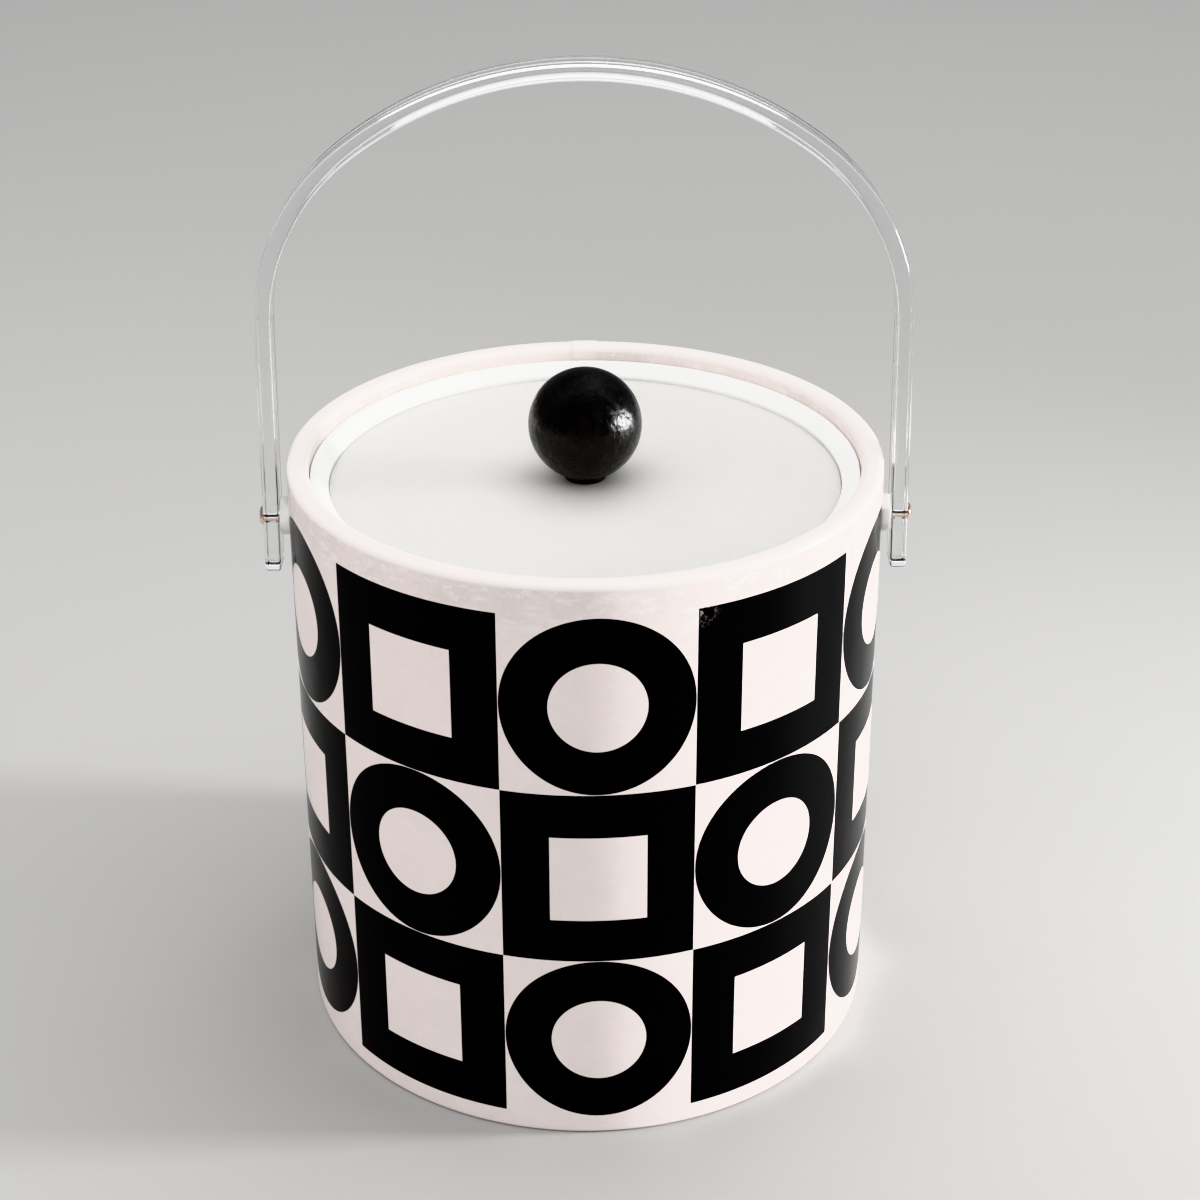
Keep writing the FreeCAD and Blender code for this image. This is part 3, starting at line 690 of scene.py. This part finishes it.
def pressed_board(colours):
    """Grey-brown board with short fibres."""
    finish = Finish("Pressed board")
    fibres = finish.noise(900.0, detail=5.0, roughness=0.7, stretch=(1.0, 0.25, 1.0))
    flecks = finish.scaled(0.62, 0.70, finish.noise(260.0, roughness=0.6))
    dark, light, darkest = (darker(colours.board, factor) for factor in (0.75, 1.2, 0.5))
    tone = finish.blend(finish.scaled(0.35, 0.7, fibres), dark, light)
    return finish.shade(
        Base_Color=finish.blend(flecks, tone, darkest),
        Roughness=0.85,
        Normal=finish.bump(fibres, 0.0002, 0.6),
        Specular_IOR_Level=0.25,
    )


def white_foam(colours):
    """Foam of small closed beads."""
    finish = Finish("White foam")
    inputs = {"Vector": finish.spot, "Scale": 300.0}
    beads = finish.add("ShaderNodeTexVoronoi", inputs).outputs["Distance"]
    tone = finish.blend(finish.scaled(0.2, 0.7, beads), colours.foam, darker(colours.foam, 0.85))
    return finish.shade(Base_Color=tone, Roughness=0.9, Normal=finish.bump(beads, 0.0004, 0.7))


def pale_floor(colours):
    finish = Finish("Pale floor")
    patches = finish.noise(3.0, detail=4.0)
    return finish.shade(
        Base_Color=finish.blend(patches, colours.floor, darker(colours.floor, 0.975)),
        Roughness=finish.varied(finish.noise(20.0), 0.10, 0.55),
        Normal=finish.bump(finish.noise(700.0), 0.0001, 0.15),
        Specular_IOR_Level=0.3,
    )


# Pieces


def pivot_height():
    """Height of the line that the bail turns about."""
    return (top("pivot_spacer_right") + bottom("pivot_spacer_right")) / 2


def cover_outline(cover):
    """The cover's closed section: under the tube, up the wall, over the rim and down the recess."""
    outer = reach("vinyl_wrap")
    rim = top("vinyl_wrap")
    sheet = cover.thickness
    recess = outer - cover.rim_width
    recess_end = top("liner") - bpy.context.scene.ice_bucket.liner.flange_depth
    fold = outer - cover.turn_under
    return (
        (fold, 0.0, 0.0),
        (outer, 0.0, cover.base_round),
        (outer, rim, cover.rim_outer_round),
        (recess, rim, cover.rim_inner_round),
        (recess, recess_end, 0.0),
        (recess + sheet, recess_end, 0.0),
        (recess + sheet, rim - sheet, cover.rim_inner_round - sheet),
        (outer - sheet, rim - sheet, cover.rim_outer_round - sheet),
        (outer - sheet, sheet, cover.base_round - sheet),
        (fold, sheet, 0.0),
    )


def settle_sheet(bm, cover):
    """Let the glued sheet follow its uneven board, and pucker a little where it turns over the rim."""
    rim = top("vinyl_wrap")
    outer = reach("vinyl_wrap")
    middle = outer - cover.rim_width / 2
    rim_reach = 0.018
    slow_share, quick_share = 0.35, 0.65
    for vertex in bm.verts:
        spot = vertex.co
        across = math.hypot(spot.x, spot.y)
        on_wall = across > outer - WELD
        on_rim = spot.z > rim - cover.rim_inner_round and across < outer - WELD
        if not on_wall and not on_rim:
            continue
        azimuth = math.atan2(spot.y, spot.x)
        around = Vector((math.cos(azimuth), math.sin(azimuth), 0.0))
        near_rim = max(0.0, 1.0 - (rim - spot.z) / rim_reach)
        slow = noise.noise(around * 4.0 + Vector((0.0, 0.0, spot.z * 22.0)))
        quick = noise.noise(around * 26.0 + Vector((0.0, 3.0, spot.z * 60.0)))
        depth = cover.pucker * (slow_share * slow + near_rim * quick_share * quick)
        if on_wall:
            vertex.co -= around * abs(depth)
        elif across < middle:
            vertex.co += around * abs(depth)


def publish_cover(bm, name, cover, finishes, *replaced):
    """A piece of the cover, printed on its wall and plain where it turns over the rim."""
    printed, plain = finishes
    rim_start = top("vinyl_wrap") - cover.rim_outer_round
    for face in bm.faces:
        face.material_index = 1 if face.calc_center_median().z > rim_start else 0
    piece = publish(bm, name, "bucket", printed, "printed_vinyl", *replaced)
    piece.data.materials.append(plain)


def build_cover(settings):
    cover = settings.cover
    finishes = printed_vinyl(cover, settings.colours), rim_vinyl(settings.colours)
    rim = top("vinyl_wrap")
    bm = turned(cover_outline(cover), longest=cover.row_spacing)
    settle_sheet(bm, cover)
    hole = settings.pivots.spacer_bore
    outer = reach("vinyl_wrap")
    drill = outer - 2 * cover.thickness, outer + cover.thickness
    tools = [rod_across(hole, side * drill[0], side * drill[1], pivot_height()) for side in (1, -1)]
    publish_cover(cut_away(bm, tools), "vinyl_cover", cover, finishes, "vinyl_wrap")

    recess = outer - cover.rim_width
    overlap_start = 1.5 * cover.base_round
    bm = bmesh.new()
    path = (
        (outer, overlap_start, 0.0),
        (outer, rim, cover.rim_outer_round),
        (recess, rim, cover.rim_inner_round),
        (recess, top("liner"), 0.0),
    )
    wire(bm, path, closed=False)
    split_runs(bm, cover.row_spacing)
    half = cover.overlap_width / outer / 2
    to_start = Matrix.Rotation(QUARTER_TURN - half, 3, "Z")
    bmesh.ops.rotate(bm, verts=bm.verts[:], cent=(0, 0, 0), matrix=to_start)
    sweep(bm, bm.verts[:] + bm.edges[:], (0, 0, 0), (0, 0, 1), 2 * half, OVERLAP_STEPS)
    bmesh.ops.recalc_face_normals(bm, faces=bm.faces[:])
    # The sheet is made to face outwards before it is thickened.
    wall = max(bm.faces, key=lambda face: face.calc_center_median().y)
    if wall.normal.y < 0:
        bmesh.ops.reverse_faces(bm, faces=bm.faces[:])
    bmesh.ops.solidify(bm, geom=bm.faces[:], thickness=-cover.overlap_proud)
    bmesh.ops.recalc_face_normals(bm, faces=bm.faces[:])
    publish_cover(bm, "cover_overlap", cover, finishes)


def build_liner(settings):
    liner = settings.liner
    flange = reach("liner")
    flange_top = top("liner")
    shelf = flange_top - liner.flange_depth
    seat = reach("lid_disc") + settings.lid.clearance
    seat_top = top("lid_disc") + liner.seat_rise
    ledge = bottom("lid_disc")
    cup = seat - liner.ledge
    cup_floor = cup - liner.draft
    under = bottom("liner")
    floor = under + liner.wall
    step_under = ledge - liner.wall
    corners = (
        (flange, shelf, liner.seat_round),
        (flange, flange_top, liner.flange_round),
        (flange - liner.land, flange_top, liner.flange_round),
        (seat, seat_top, liner.seat_round),
        (seat, ledge, liner.seat_round),
        (cup, ledge, liner.step_round),
        (cup_floor, floor, liner.floor_round),
        (0.0, floor, 0.0),
        (0.0, under, 0.0),
        (cup_floor + liner.wall, under, liner.floor_round + liner.wall),
        (cup + liner.wall, step_under, liner.step_round),
        (seat + liner.wall, step_under, liner.step_round),
        (seat + liner.wall, shelf, liner.seat_round),
    )
    bm = turned(corners, longest=LONG_RUN)
    finish = white_moulding(settings.colours)
    publish(bm, "liner_cup", "bucket", finish, "white_plastic", "liner")


def build_base(settings):
    base = settings.base
    cover = settings.cover
    foot_out = reach("vinyl_wrap") - cover.turn_under - base.foot_gap
    foot_in = foot_out - base.foot_width
    hollow = base.foot_height
    edge = reach("base_plate")
    corners = (
        (0.0, hollow, 0.0),
        (foot_in, hollow, base.edge_round),
        (foot_in, 0.0, base.edge_round),
        (foot_out, 0.0, base.edge_round / 2),
        (foot_out, cover.thickness, 0.0),
        (edge, cover.thickness, 0.0),
        (edge, top("base_plate"), base.edge_round),
        (0.0, top("base_plate"), 0.0),
    )
    bm = turned(corners, longest=LONG_RUN)
    finish = pressed_board(settings.colours)
    publish(bm, "base_board", "bucket", finish, "fibreboard", "base_plate")


def build_lid(settings):
    lid = settings.lid
    edge = reach("lid_disc")
    low = bottom("lid_disc")
    high = top("lid_disc")
    corners = (
        (lid.bore, low, lid.bore_round),
        (edge, low, lid.edge_round / 2),
        (edge, high, lid.edge_round),
        (lid.bore, high, lid.bore_round),
    )
    bm = turned(corners, longest=LID_RUN)
    finish = frosted_acrylic(settings.colours)
    publish(bm, "lid_panel", "lid", finish, "frosted_acrylic", "lid_disc")


def build_knob(settings):
    lid = settings.lid
    finish = black_lacquer(settings.colours)
    radius = reach("knob_ball")
    crown = top("knob_ball")
    flat_height = bottom("knob_ball")
    middle = crown - radius
    bm = bmesh.new()
    start = bm.verts.new((0.0, 0.0, crown))
    drop = math.pi - math.asin(lid.flat / radius)
    arc_end = sweep(bm, [start], (0, 0, middle), (0, 1, 0), drop, ARC_STEPS)
    last = first_of(arc_end, bmesh.types.BMVert)
    last.co.z = flat_height
    socket = settings.pivots.shank
    socket_floor = flat_height + lid.socket_depth
    inner = bm.verts.new((socket, 0.0, flat_height))
    hollow = bm.verts.new((socket, 0.0, socket_floor))
    floor = bm.verts.new((0.0, 0.0, socket_floor))
    for first, second in ((last, inner), (inner, hollow), (hollow, floor)):
        bm.edges.new((first, second))
    round_off(bm, [last], lid.flat_round, ROUND_STEPS, "VERTICES")
    spin_wire(bm, KNOB_STEPS)
    publish(bm, "ball_knob", "lid", finish, "black_wood", "knob_ball")

    collar = reach("knob_collar")
    low = bottom("knob_collar")
    high = top("knob_collar")
    corners = (
        (lid.bore, low, 0.0),
        (collar, low, lid.collar_round),
        (collar, high, lid.collar_round),
        (lid.bore, high, 0.0),
    )
    publish(turned(corners, KNOB_STEPS), "ball_collar", "lid", finish, "black_wood", "knob_collar")


def carry(bm, section, centre, angle, steps):
    """Bend a strap's end face on round a line along Y, and give back its new end face."""
    bent = sweep(bm, [section], centre, (0, -1, 0), angle, steps)
    if section.is_valid:
        bmesh.ops.delete(bm, geom=[section], context="FACES_ONLY")
    return first_of(bent, bmesh.types.BMFace)


def build_bail(settings):
    bail = settings.bail
    pivot = pivot_height()
    thickness = bail.thickness
    slope = math.atan2(bail.lean, bail.spring)
    out = Vector((math.cos(slope), 0.0, math.sin(slope)))
    up = Vector((-math.sin(slope), 0.0, math.cos(slope)))
    inner_face = reach("pivot_spacer_right") + bail.side_gap
    spring = Vector((inner_face - bail.lean, 0.0, pivot + bail.spring))
    leg = bail.spring + bail.tail
    bend = spring - out * (bail.corner - thickness)
    crown_radius = spring.x + thickness * out.x + bail.flatness
    between = crown_radius - bail.corner
    crown = Vector((0.0, 0.0, bend.z - math.sqrt(between**2 - bend.x**2)))
    meeting = math.atan2(bend.z - crown.z, bend.x)

    bm = bmesh.new()
    foot = spring - up * leg + out * (thickness / 2)
    turning = Matrix((out, (0.0, 1.0, 0.0), up)).transposed().to_4x4()
    stretch = Matrix.Diagonal((thickness, bail.width, 1.0, 1.0))
    place = Matrix.Translation(foot) @ turning @ stretch
    bmesh.ops.create_grid(bm, x_segments=1, y_segments=1, size=0.5, matrix=place)
    raised = bmesh.ops.extrude_face_region(bm, geom=bm.faces[:])
    corners = [item for item in raised["geom"] if isinstance(item, bmesh.types.BMVert)]
    bmesh.ops.translate(bm, verts=corners, vec=up * leg)
    section = first_of(raised["geom"], bmesh.types.BMFace)
    section = carry(bm, section, bend, meeting - slope, ARC_STEPS)
    section = carry(bm, section, crown, QUARTER_TURN - meeting, CROWN_STEPS)
    bmesh.ops.delete(bm, geom=[section], context="FACES_ONLY")
    everything = bm.verts[:] + bm.edges[:] + bm.faces[:]
    bmesh.ops.mirror(bm, geom=everything, matrix=Matrix.Identity(4), merge_dist=LOOSE_WELD, axis="X")
    bmesh.ops.remove_doubles(bm, verts=bm.verts[:], dist=LOOSE_WELD)
    bmesh.ops.recalc_face_normals(bm, faces=bm.faces[:])

    lowest = min(vertex.co.z for vertex in bm.verts)
    ends = []
    for edge in bm.edges:
        first, second = edge.verts
        across = abs(first.co.x - second.co.x) > thickness / 2
        if across and max(first.co.z, second.co.z) < lowest + thickness:
            ends.append(edge)
    round_off(bm, ends, bail.end_round, END_STEPS)
    sharp = [edge for edge in bm.edges if edge.calc_face_angle(0.0) > EDGE_ANGLE]
    round_off(bm, sharp, bail.long_round, ROUND_STEPS)
    drill = inner_face - thickness, inner_face + 2 * thickness
    tools = [rod_across(bail.bore, side * drill[0], side * drill[1], pivot) for side in (1, -1)]
    bm = cut_away(bm, tools)
    finish = clear_acrylic(bail, settings.colours)
    publish(bm, "bail_strap", "bail", finish, "clear_acrylic", "bail_handle")


def build_pivots(settings):
    pivots = settings.pivots
    nylon = white_nylon(settings.colours)
    copper = bright_metal("Copper plate", settings.colours.copper, 0.12, brushed=(1.0, 0.08, 0.08))
    pivot = pivot_height()
    inner = reach("vinyl_wrap")
    outer = reach("pivot_spacer_right")
    edge = (top("pivot_spacer_right") - bottom("pivot_spacer_right")) / 2
    head_top = reach("pivot_screw_right")
    head_under = head_top - pivots.head_depth
    head = (top("pivot_screw_right") - bottom("pivot_screw_right")) / 2
    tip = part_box("pivot_screw_right")[0].x
    slot = (2.2 * head, pivots.slot_width, 2 * pivots.slot_depth)
    for side, label in ((1, "right"), (-1, "left")):
        corners = (
            (pivots.spacer_bore, inner, 0.0),
            (edge, inner, pivots.spacer_round / 2),
            (edge, outer, pivots.spacer_round),
            (pivots.spacer_bore, outer, pivots.fine_round),
        )
        bm = turned(corners, SMALL_STEPS)
        lay_across(bm, side, pivot)
        publish(bm, f"spacer_{label}", "bucket", nylon, "nylon", f"pivot_spacer_{label}")

        corners = (
            (0.0, tip, 0.0),
            (pivots.shank, tip, pivots.tip_round),
            (pivots.shank, head_under, 0.0),
            (head, head_under, pivots.fine_round),
            (head, head_under + pivots.head_edge, pivots.tip_round),
            (head * pivots.crown_share, head_top, pivots.crown_round),
            (0.0, head_top, 0.0),
        )
        bm = turned(corners, SMALL_STEPS)
        bm = cut_away(bm, [block((0.0, 0.0, head_top), slot)])
        lay_across(bm, side, pivot)
        publish(bm, f"screw_{label}", "bucket", copper, "screw_metal", f"pivot_screw_{label}")


def finish_inner(settings):
    """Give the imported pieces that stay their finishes."""
    colours = settings.colours
    steel = bright_metal("Zinc steel", colours.steel, 0.30, brushed=(1.0, 1.0, 0.1))
    board = bpy.data.materials.get("Pressed board") or pressed_board(colours)
    foam = white_foam(colours)
    washers = ("pivot_washer_right", "pivot_washer_left", "knob_washer")
    fasteners = ("pivot_nut_right", "pivot_nut_left", "knob_screw")
    finishes = (
        (board, ("shell_core", "rim_ring")),
        (foam, ("insulation_sleeve", "insulation_disc")),
        (steel, washers + fasteners),
    )
    for finish, nodes in finishes:
        for node in nodes:
            for material_slot in frame["nodes"][node].material_slots:
                material_slot.material = finish


# Stage


def studio_camera(studio):
    """The camera goes round a point on the axis, then is turned to one side, tipped and rolled."""
    sine = math.sin(studio.elevation)
    cosine = math.cos(studio.elevation)
    level = Matrix(((1, 0, 0), (0, sine, cosine), (0, cosine, -sine)))
    swing = Matrix.Rotation(-studio.swing, 3, "Y")
    tip = Matrix.Rotation(-studio.tip, 3, "X")
    roll = Matrix.Rotation(studio.roll, 3, "Z")
    right, up, forward = roll @ tip @ swing @ level
    data = bpy.data.cameras.new("Camera")
    data.sensor_width = 36.0
    data.lens = studio.lens
    data.shift_y = studio.shift
    data.dof.use_dof = False
    camera = bpy.data.objects.new("Camera", data)
    spot = Vector((0.0, -studio.distance * cosine, studio.distance * sine + studio.height))
    turning = Matrix((right, up, -forward)).transposed().to_4x4()
    camera.matrix_world = Matrix.Translation(spot) @ turning
    bpy.context.scene.collection.objects.link(camera)
    bpy.context.scene.camera = camera


def soft_light(name, spot, size, watts, tint=WHITE_LIGHT, mirrored=True, seen_through=True, fan=180.0):
    """A soft box whose light fans out by that many degrees.

    One that isn't mirrored leaves no reflection, and one that isn't seen through the clear handle
    leaves no glare in it.
    """
    data = bpy.data.lights.new(name, "AREA")
    data.shape = "RECTANGLE"
    data.size = size[0]
    data.size_y = size[1]
    data.energy = watts
    data.color = tint
    data.spread = math.radians(fan)
    light = bpy.data.objects.new(name, data)
    spot = Vector(spot)
    turning = (LIGHT_AIM - spot).to_track_quat("-Z", "Y").to_matrix().to_4x4()
    light.matrix_world = Matrix.Translation(spot) @ turning
    light.visible_glossy = mirrored
    light.visible_transmission = seen_through
    bpy.context.scene.collection.objects.link(light)


def studio_world(settings):
    world = bpy.data.worlds.new("Studio")
    world.use_nodes = True
    tree = world.node_tree
    background = tree.nodes["Background"]
    background.inputs["Color"].default_value = (*settings.colours.backdrop, 1.0)
    # The backdrop is pale where it is seen, straight or through the clear handle, and dimmer as a
    # light, which keeps the blacks deep.
    studio = settings.studio
    path = tree.nodes.new("ShaderNodeLightPath")
    seen = tree.nodes.new("ShaderNodeMath")
    seen.operation = "MAXIMUM"
    tree.links.new(path.outputs["Is Camera Ray"], seen.inputs[0])
    tree.links.new(path.outputs["Is Transmission Ray"], seen.inputs[1])
    strength = tree.nodes.new("ShaderNodeMapRange")
    strength.inputs["To Min"].default_value = studio.backdrop_light
    strength.inputs["To Max"].default_value = studio.backdrop_strength
    tree.links.new(seen.outputs[0], strength.inputs["Value"])
    tree.links.new(strength.outputs["Result"], background.inputs["Strength"])
    bpy.context.scene.world = world


def build_stage(settings):
    studio = settings.studio
    bm = bmesh.new()
    bmesh.ops.create_grid(bm, x_segments=8, y_segments=8, size=studio.floor_size / 2)
    floor = plain_object("floor", bm)
    floor.data.materials.append(pale_floor(settings.colours))
    fill = {"mirrored": False, "seen_through": False}
    soft_light("Light right", (1.30, -0.05, 0.27), (0.17, 0.27), watts=4.8, fan=60.0)
    soft_light("Light right fill", (1.90, -0.07, 0.80), (1.3, 1.0), watts=10.0, **fill)
    soft_light("Light left", (-1.30, -0.30, 0.55), (0.9, 0.9), watts=4.5, tint=BLUSH_LIGHT, **fill)
    soft_light("Light top", (0.0, 0.20, 2.60), (4.6, 4.6), watts=142.0, mirrored=False)
    soft_light("Light gloss", (0.50, 1.10, 2.20), (1.2, 1.2), watts=5.0)
    soft_light("Light front", (-0.20, -2.60, 1.00), (1.4, 1.0), watts=15.5, **fill)
    studio_world(settings)
    studio_camera(studio)
    bpy.context.scene.view_settings.view_transform = "Khronos PBR Neutral"


# Operators


class ICE_BUCKET_OT_cover(bpy.types.Operator):
    """Build the printed vinyl cover and its joint down the back"""

    bl_idname = "ice_bucket.cover"
    bl_label = "Printed cover"
    bl_options = {"REGISTER", "UNDO"}

    def execute(self, context):
        build_cover(context.scene.ice_bucket)
        return {"FINISHED"}


class ICE_BUCKET_OT_liner(bpy.types.Operator):
    """Build the white liner with the seat for the lid"""

    bl_idname = "ice_bucket.liner"
    bl_label = "Liner"
    bl_options = {"REGISTER", "UNDO"}

    def execute(self, context):
        build_liner(context.scene.ice_bucket)
        return {"FINISHED"}


class ICE_BUCKET_OT_base(bpy.types.Operator):
    """Build the base board with its foot ring"""

    bl_idname = "ice_bucket.base"
    bl_label = "Base board"
    bl_options = {"REGISTER", "UNDO"}

    def execute(self, context):
        build_base(context.scene.ice_bucket)
        return {"FINISHED"}


class ICE_BUCKET_OT_lid(bpy.types.Operator):
    """Build the frosted lid"""

    bl_idname = "ice_bucket.lid"
    bl_label = "Lid"
    bl_options = {"REGISTER", "UNDO"}

    def execute(self, context):
        build_lid(context.scene.ice_bucket)
        return {"FINISHED"}


class ICE_BUCKET_OT_knob(bpy.types.Operator):
    """Build the ball knob and its collar"""

    bl_idname = "ice_bucket.knob"
    bl_label = "Ball knob"
    bl_options = {"REGISTER", "UNDO"}

    def execute(self, context):
        build_knob(context.scene.ice_bucket)
        return {"FINISHED"}


class ICE_BUCKET_OT_bail(bpy.types.Operator):
    """Build the clear bail handle"""

    bl_idname = "ice_bucket.bail"
    bl_label = "Bail handle"
    bl_options = {"REGISTER", "UNDO"}

    def execute(self, context):
        build_bail(context.scene.ice_bucket)
        return {"FINISHED"}


class ICE_BUCKET_OT_pivots(bpy.types.Operator):
    """Build the two spacers and the two pivot screws"""

    bl_idname = "ice_bucket.pivots"
    bl_label = "Pivots"
    bl_options = {"REGISTER", "UNDO"}

    def execute(self, context):
        build_pivots(context.scene.ice_bucket)
        return {"FINISHED"}


class ICE_BUCKET_OT_inner(bpy.types.Operator):
    """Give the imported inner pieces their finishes"""

    bl_idname = "ice_bucket.inner"
    bl_label = "Inner finishes"
    bl_options = {"REGISTER", "UNDO"}

    def execute(self, context):
        finish_inner(context.scene.ice_bucket)
        return {"FINISHED"}


class ICE_BUCKET_OT_stage(bpy.types.Operator):
    """Set up the floor, the lights and the camera"""

    bl_idname = "ice_bucket.stage"
    bl_label = "Stage"
    bl_options = {"REGISTER", "UNDO"}

    def execute(self, context):
        build_stage(context.scene.ice_bucket)
        return {"FINISHED"}


OPERATORS = (
    ICE_BUCKET_OT_cover, ICE_BUCKET_OT_liner, ICE_BUCKET_OT_base,
    ICE_BUCKET_OT_lid, ICE_BUCKET_OT_knob, ICE_BUCKET_OT_bail,
    ICE_BUCKET_OT_pivots, ICE_BUCKET_OT_inner, ICE_BUCKET_OT_stage,
)
GROUPS = (
    CoverSizes, LinerSizes, LidSizes, BailSizes, PivotSizes, BaseSizes,
    FinishColours, StudioSettings, BucketSettings,
)


class VIEW3D_PT_ice_bucket(bpy.types.Panel):
    """Lists the pieces of the ice bucket and their settings"""

    bl_idname = "VIEW3D_PT_ice_bucket"
    bl_label = "Ice bucket"
    bl_space_type = "VIEW_3D"
    bl_region_type = "UI"
    bl_category = "Ice bucket"

    def draw(self, context):
        for operator in OPERATORS:
            self.layout.operator(operator.bl_idname)
        settings = context.scene.ice_bucket
        for group in settings.bl_rna.properties:
            if group.type != "POINTER" or group.identifier == "rna_type":
                continue
            column = self.layout.column(align=True)
            column.label(text=group.name)
            held = getattr(settings, group.identifier)
            for item in held.bl_rna.properties:
                if item.identifier not in ("rna_type", "name"):
                    column.prop(held, item.identifier)


CLASSES = (*GROUPS, *OPERATORS, VIEW3D_PT_ice_bucket)


def register():
    for item in CLASSES:
        bpy.utils.register_class(item)
    bpy.types.Scene.ice_bucket = bpy.props.PointerProperty(
        name="Ice bucket", description="Sizes and colours of the ice bucket", type=BucketSettings
    )


def unregister():
    del bpy.types.Scene.ice_bucket
    for item in reversed(CLASSES):
        bpy.utils.unregister_class(item)


def main():
    register()
    for operator in OPERATORS:
        group, name = operator.bl_idname.split(".")
        getattr(getattr(bpy.ops, group), name)()


if __name__ == "__main__":
    main()
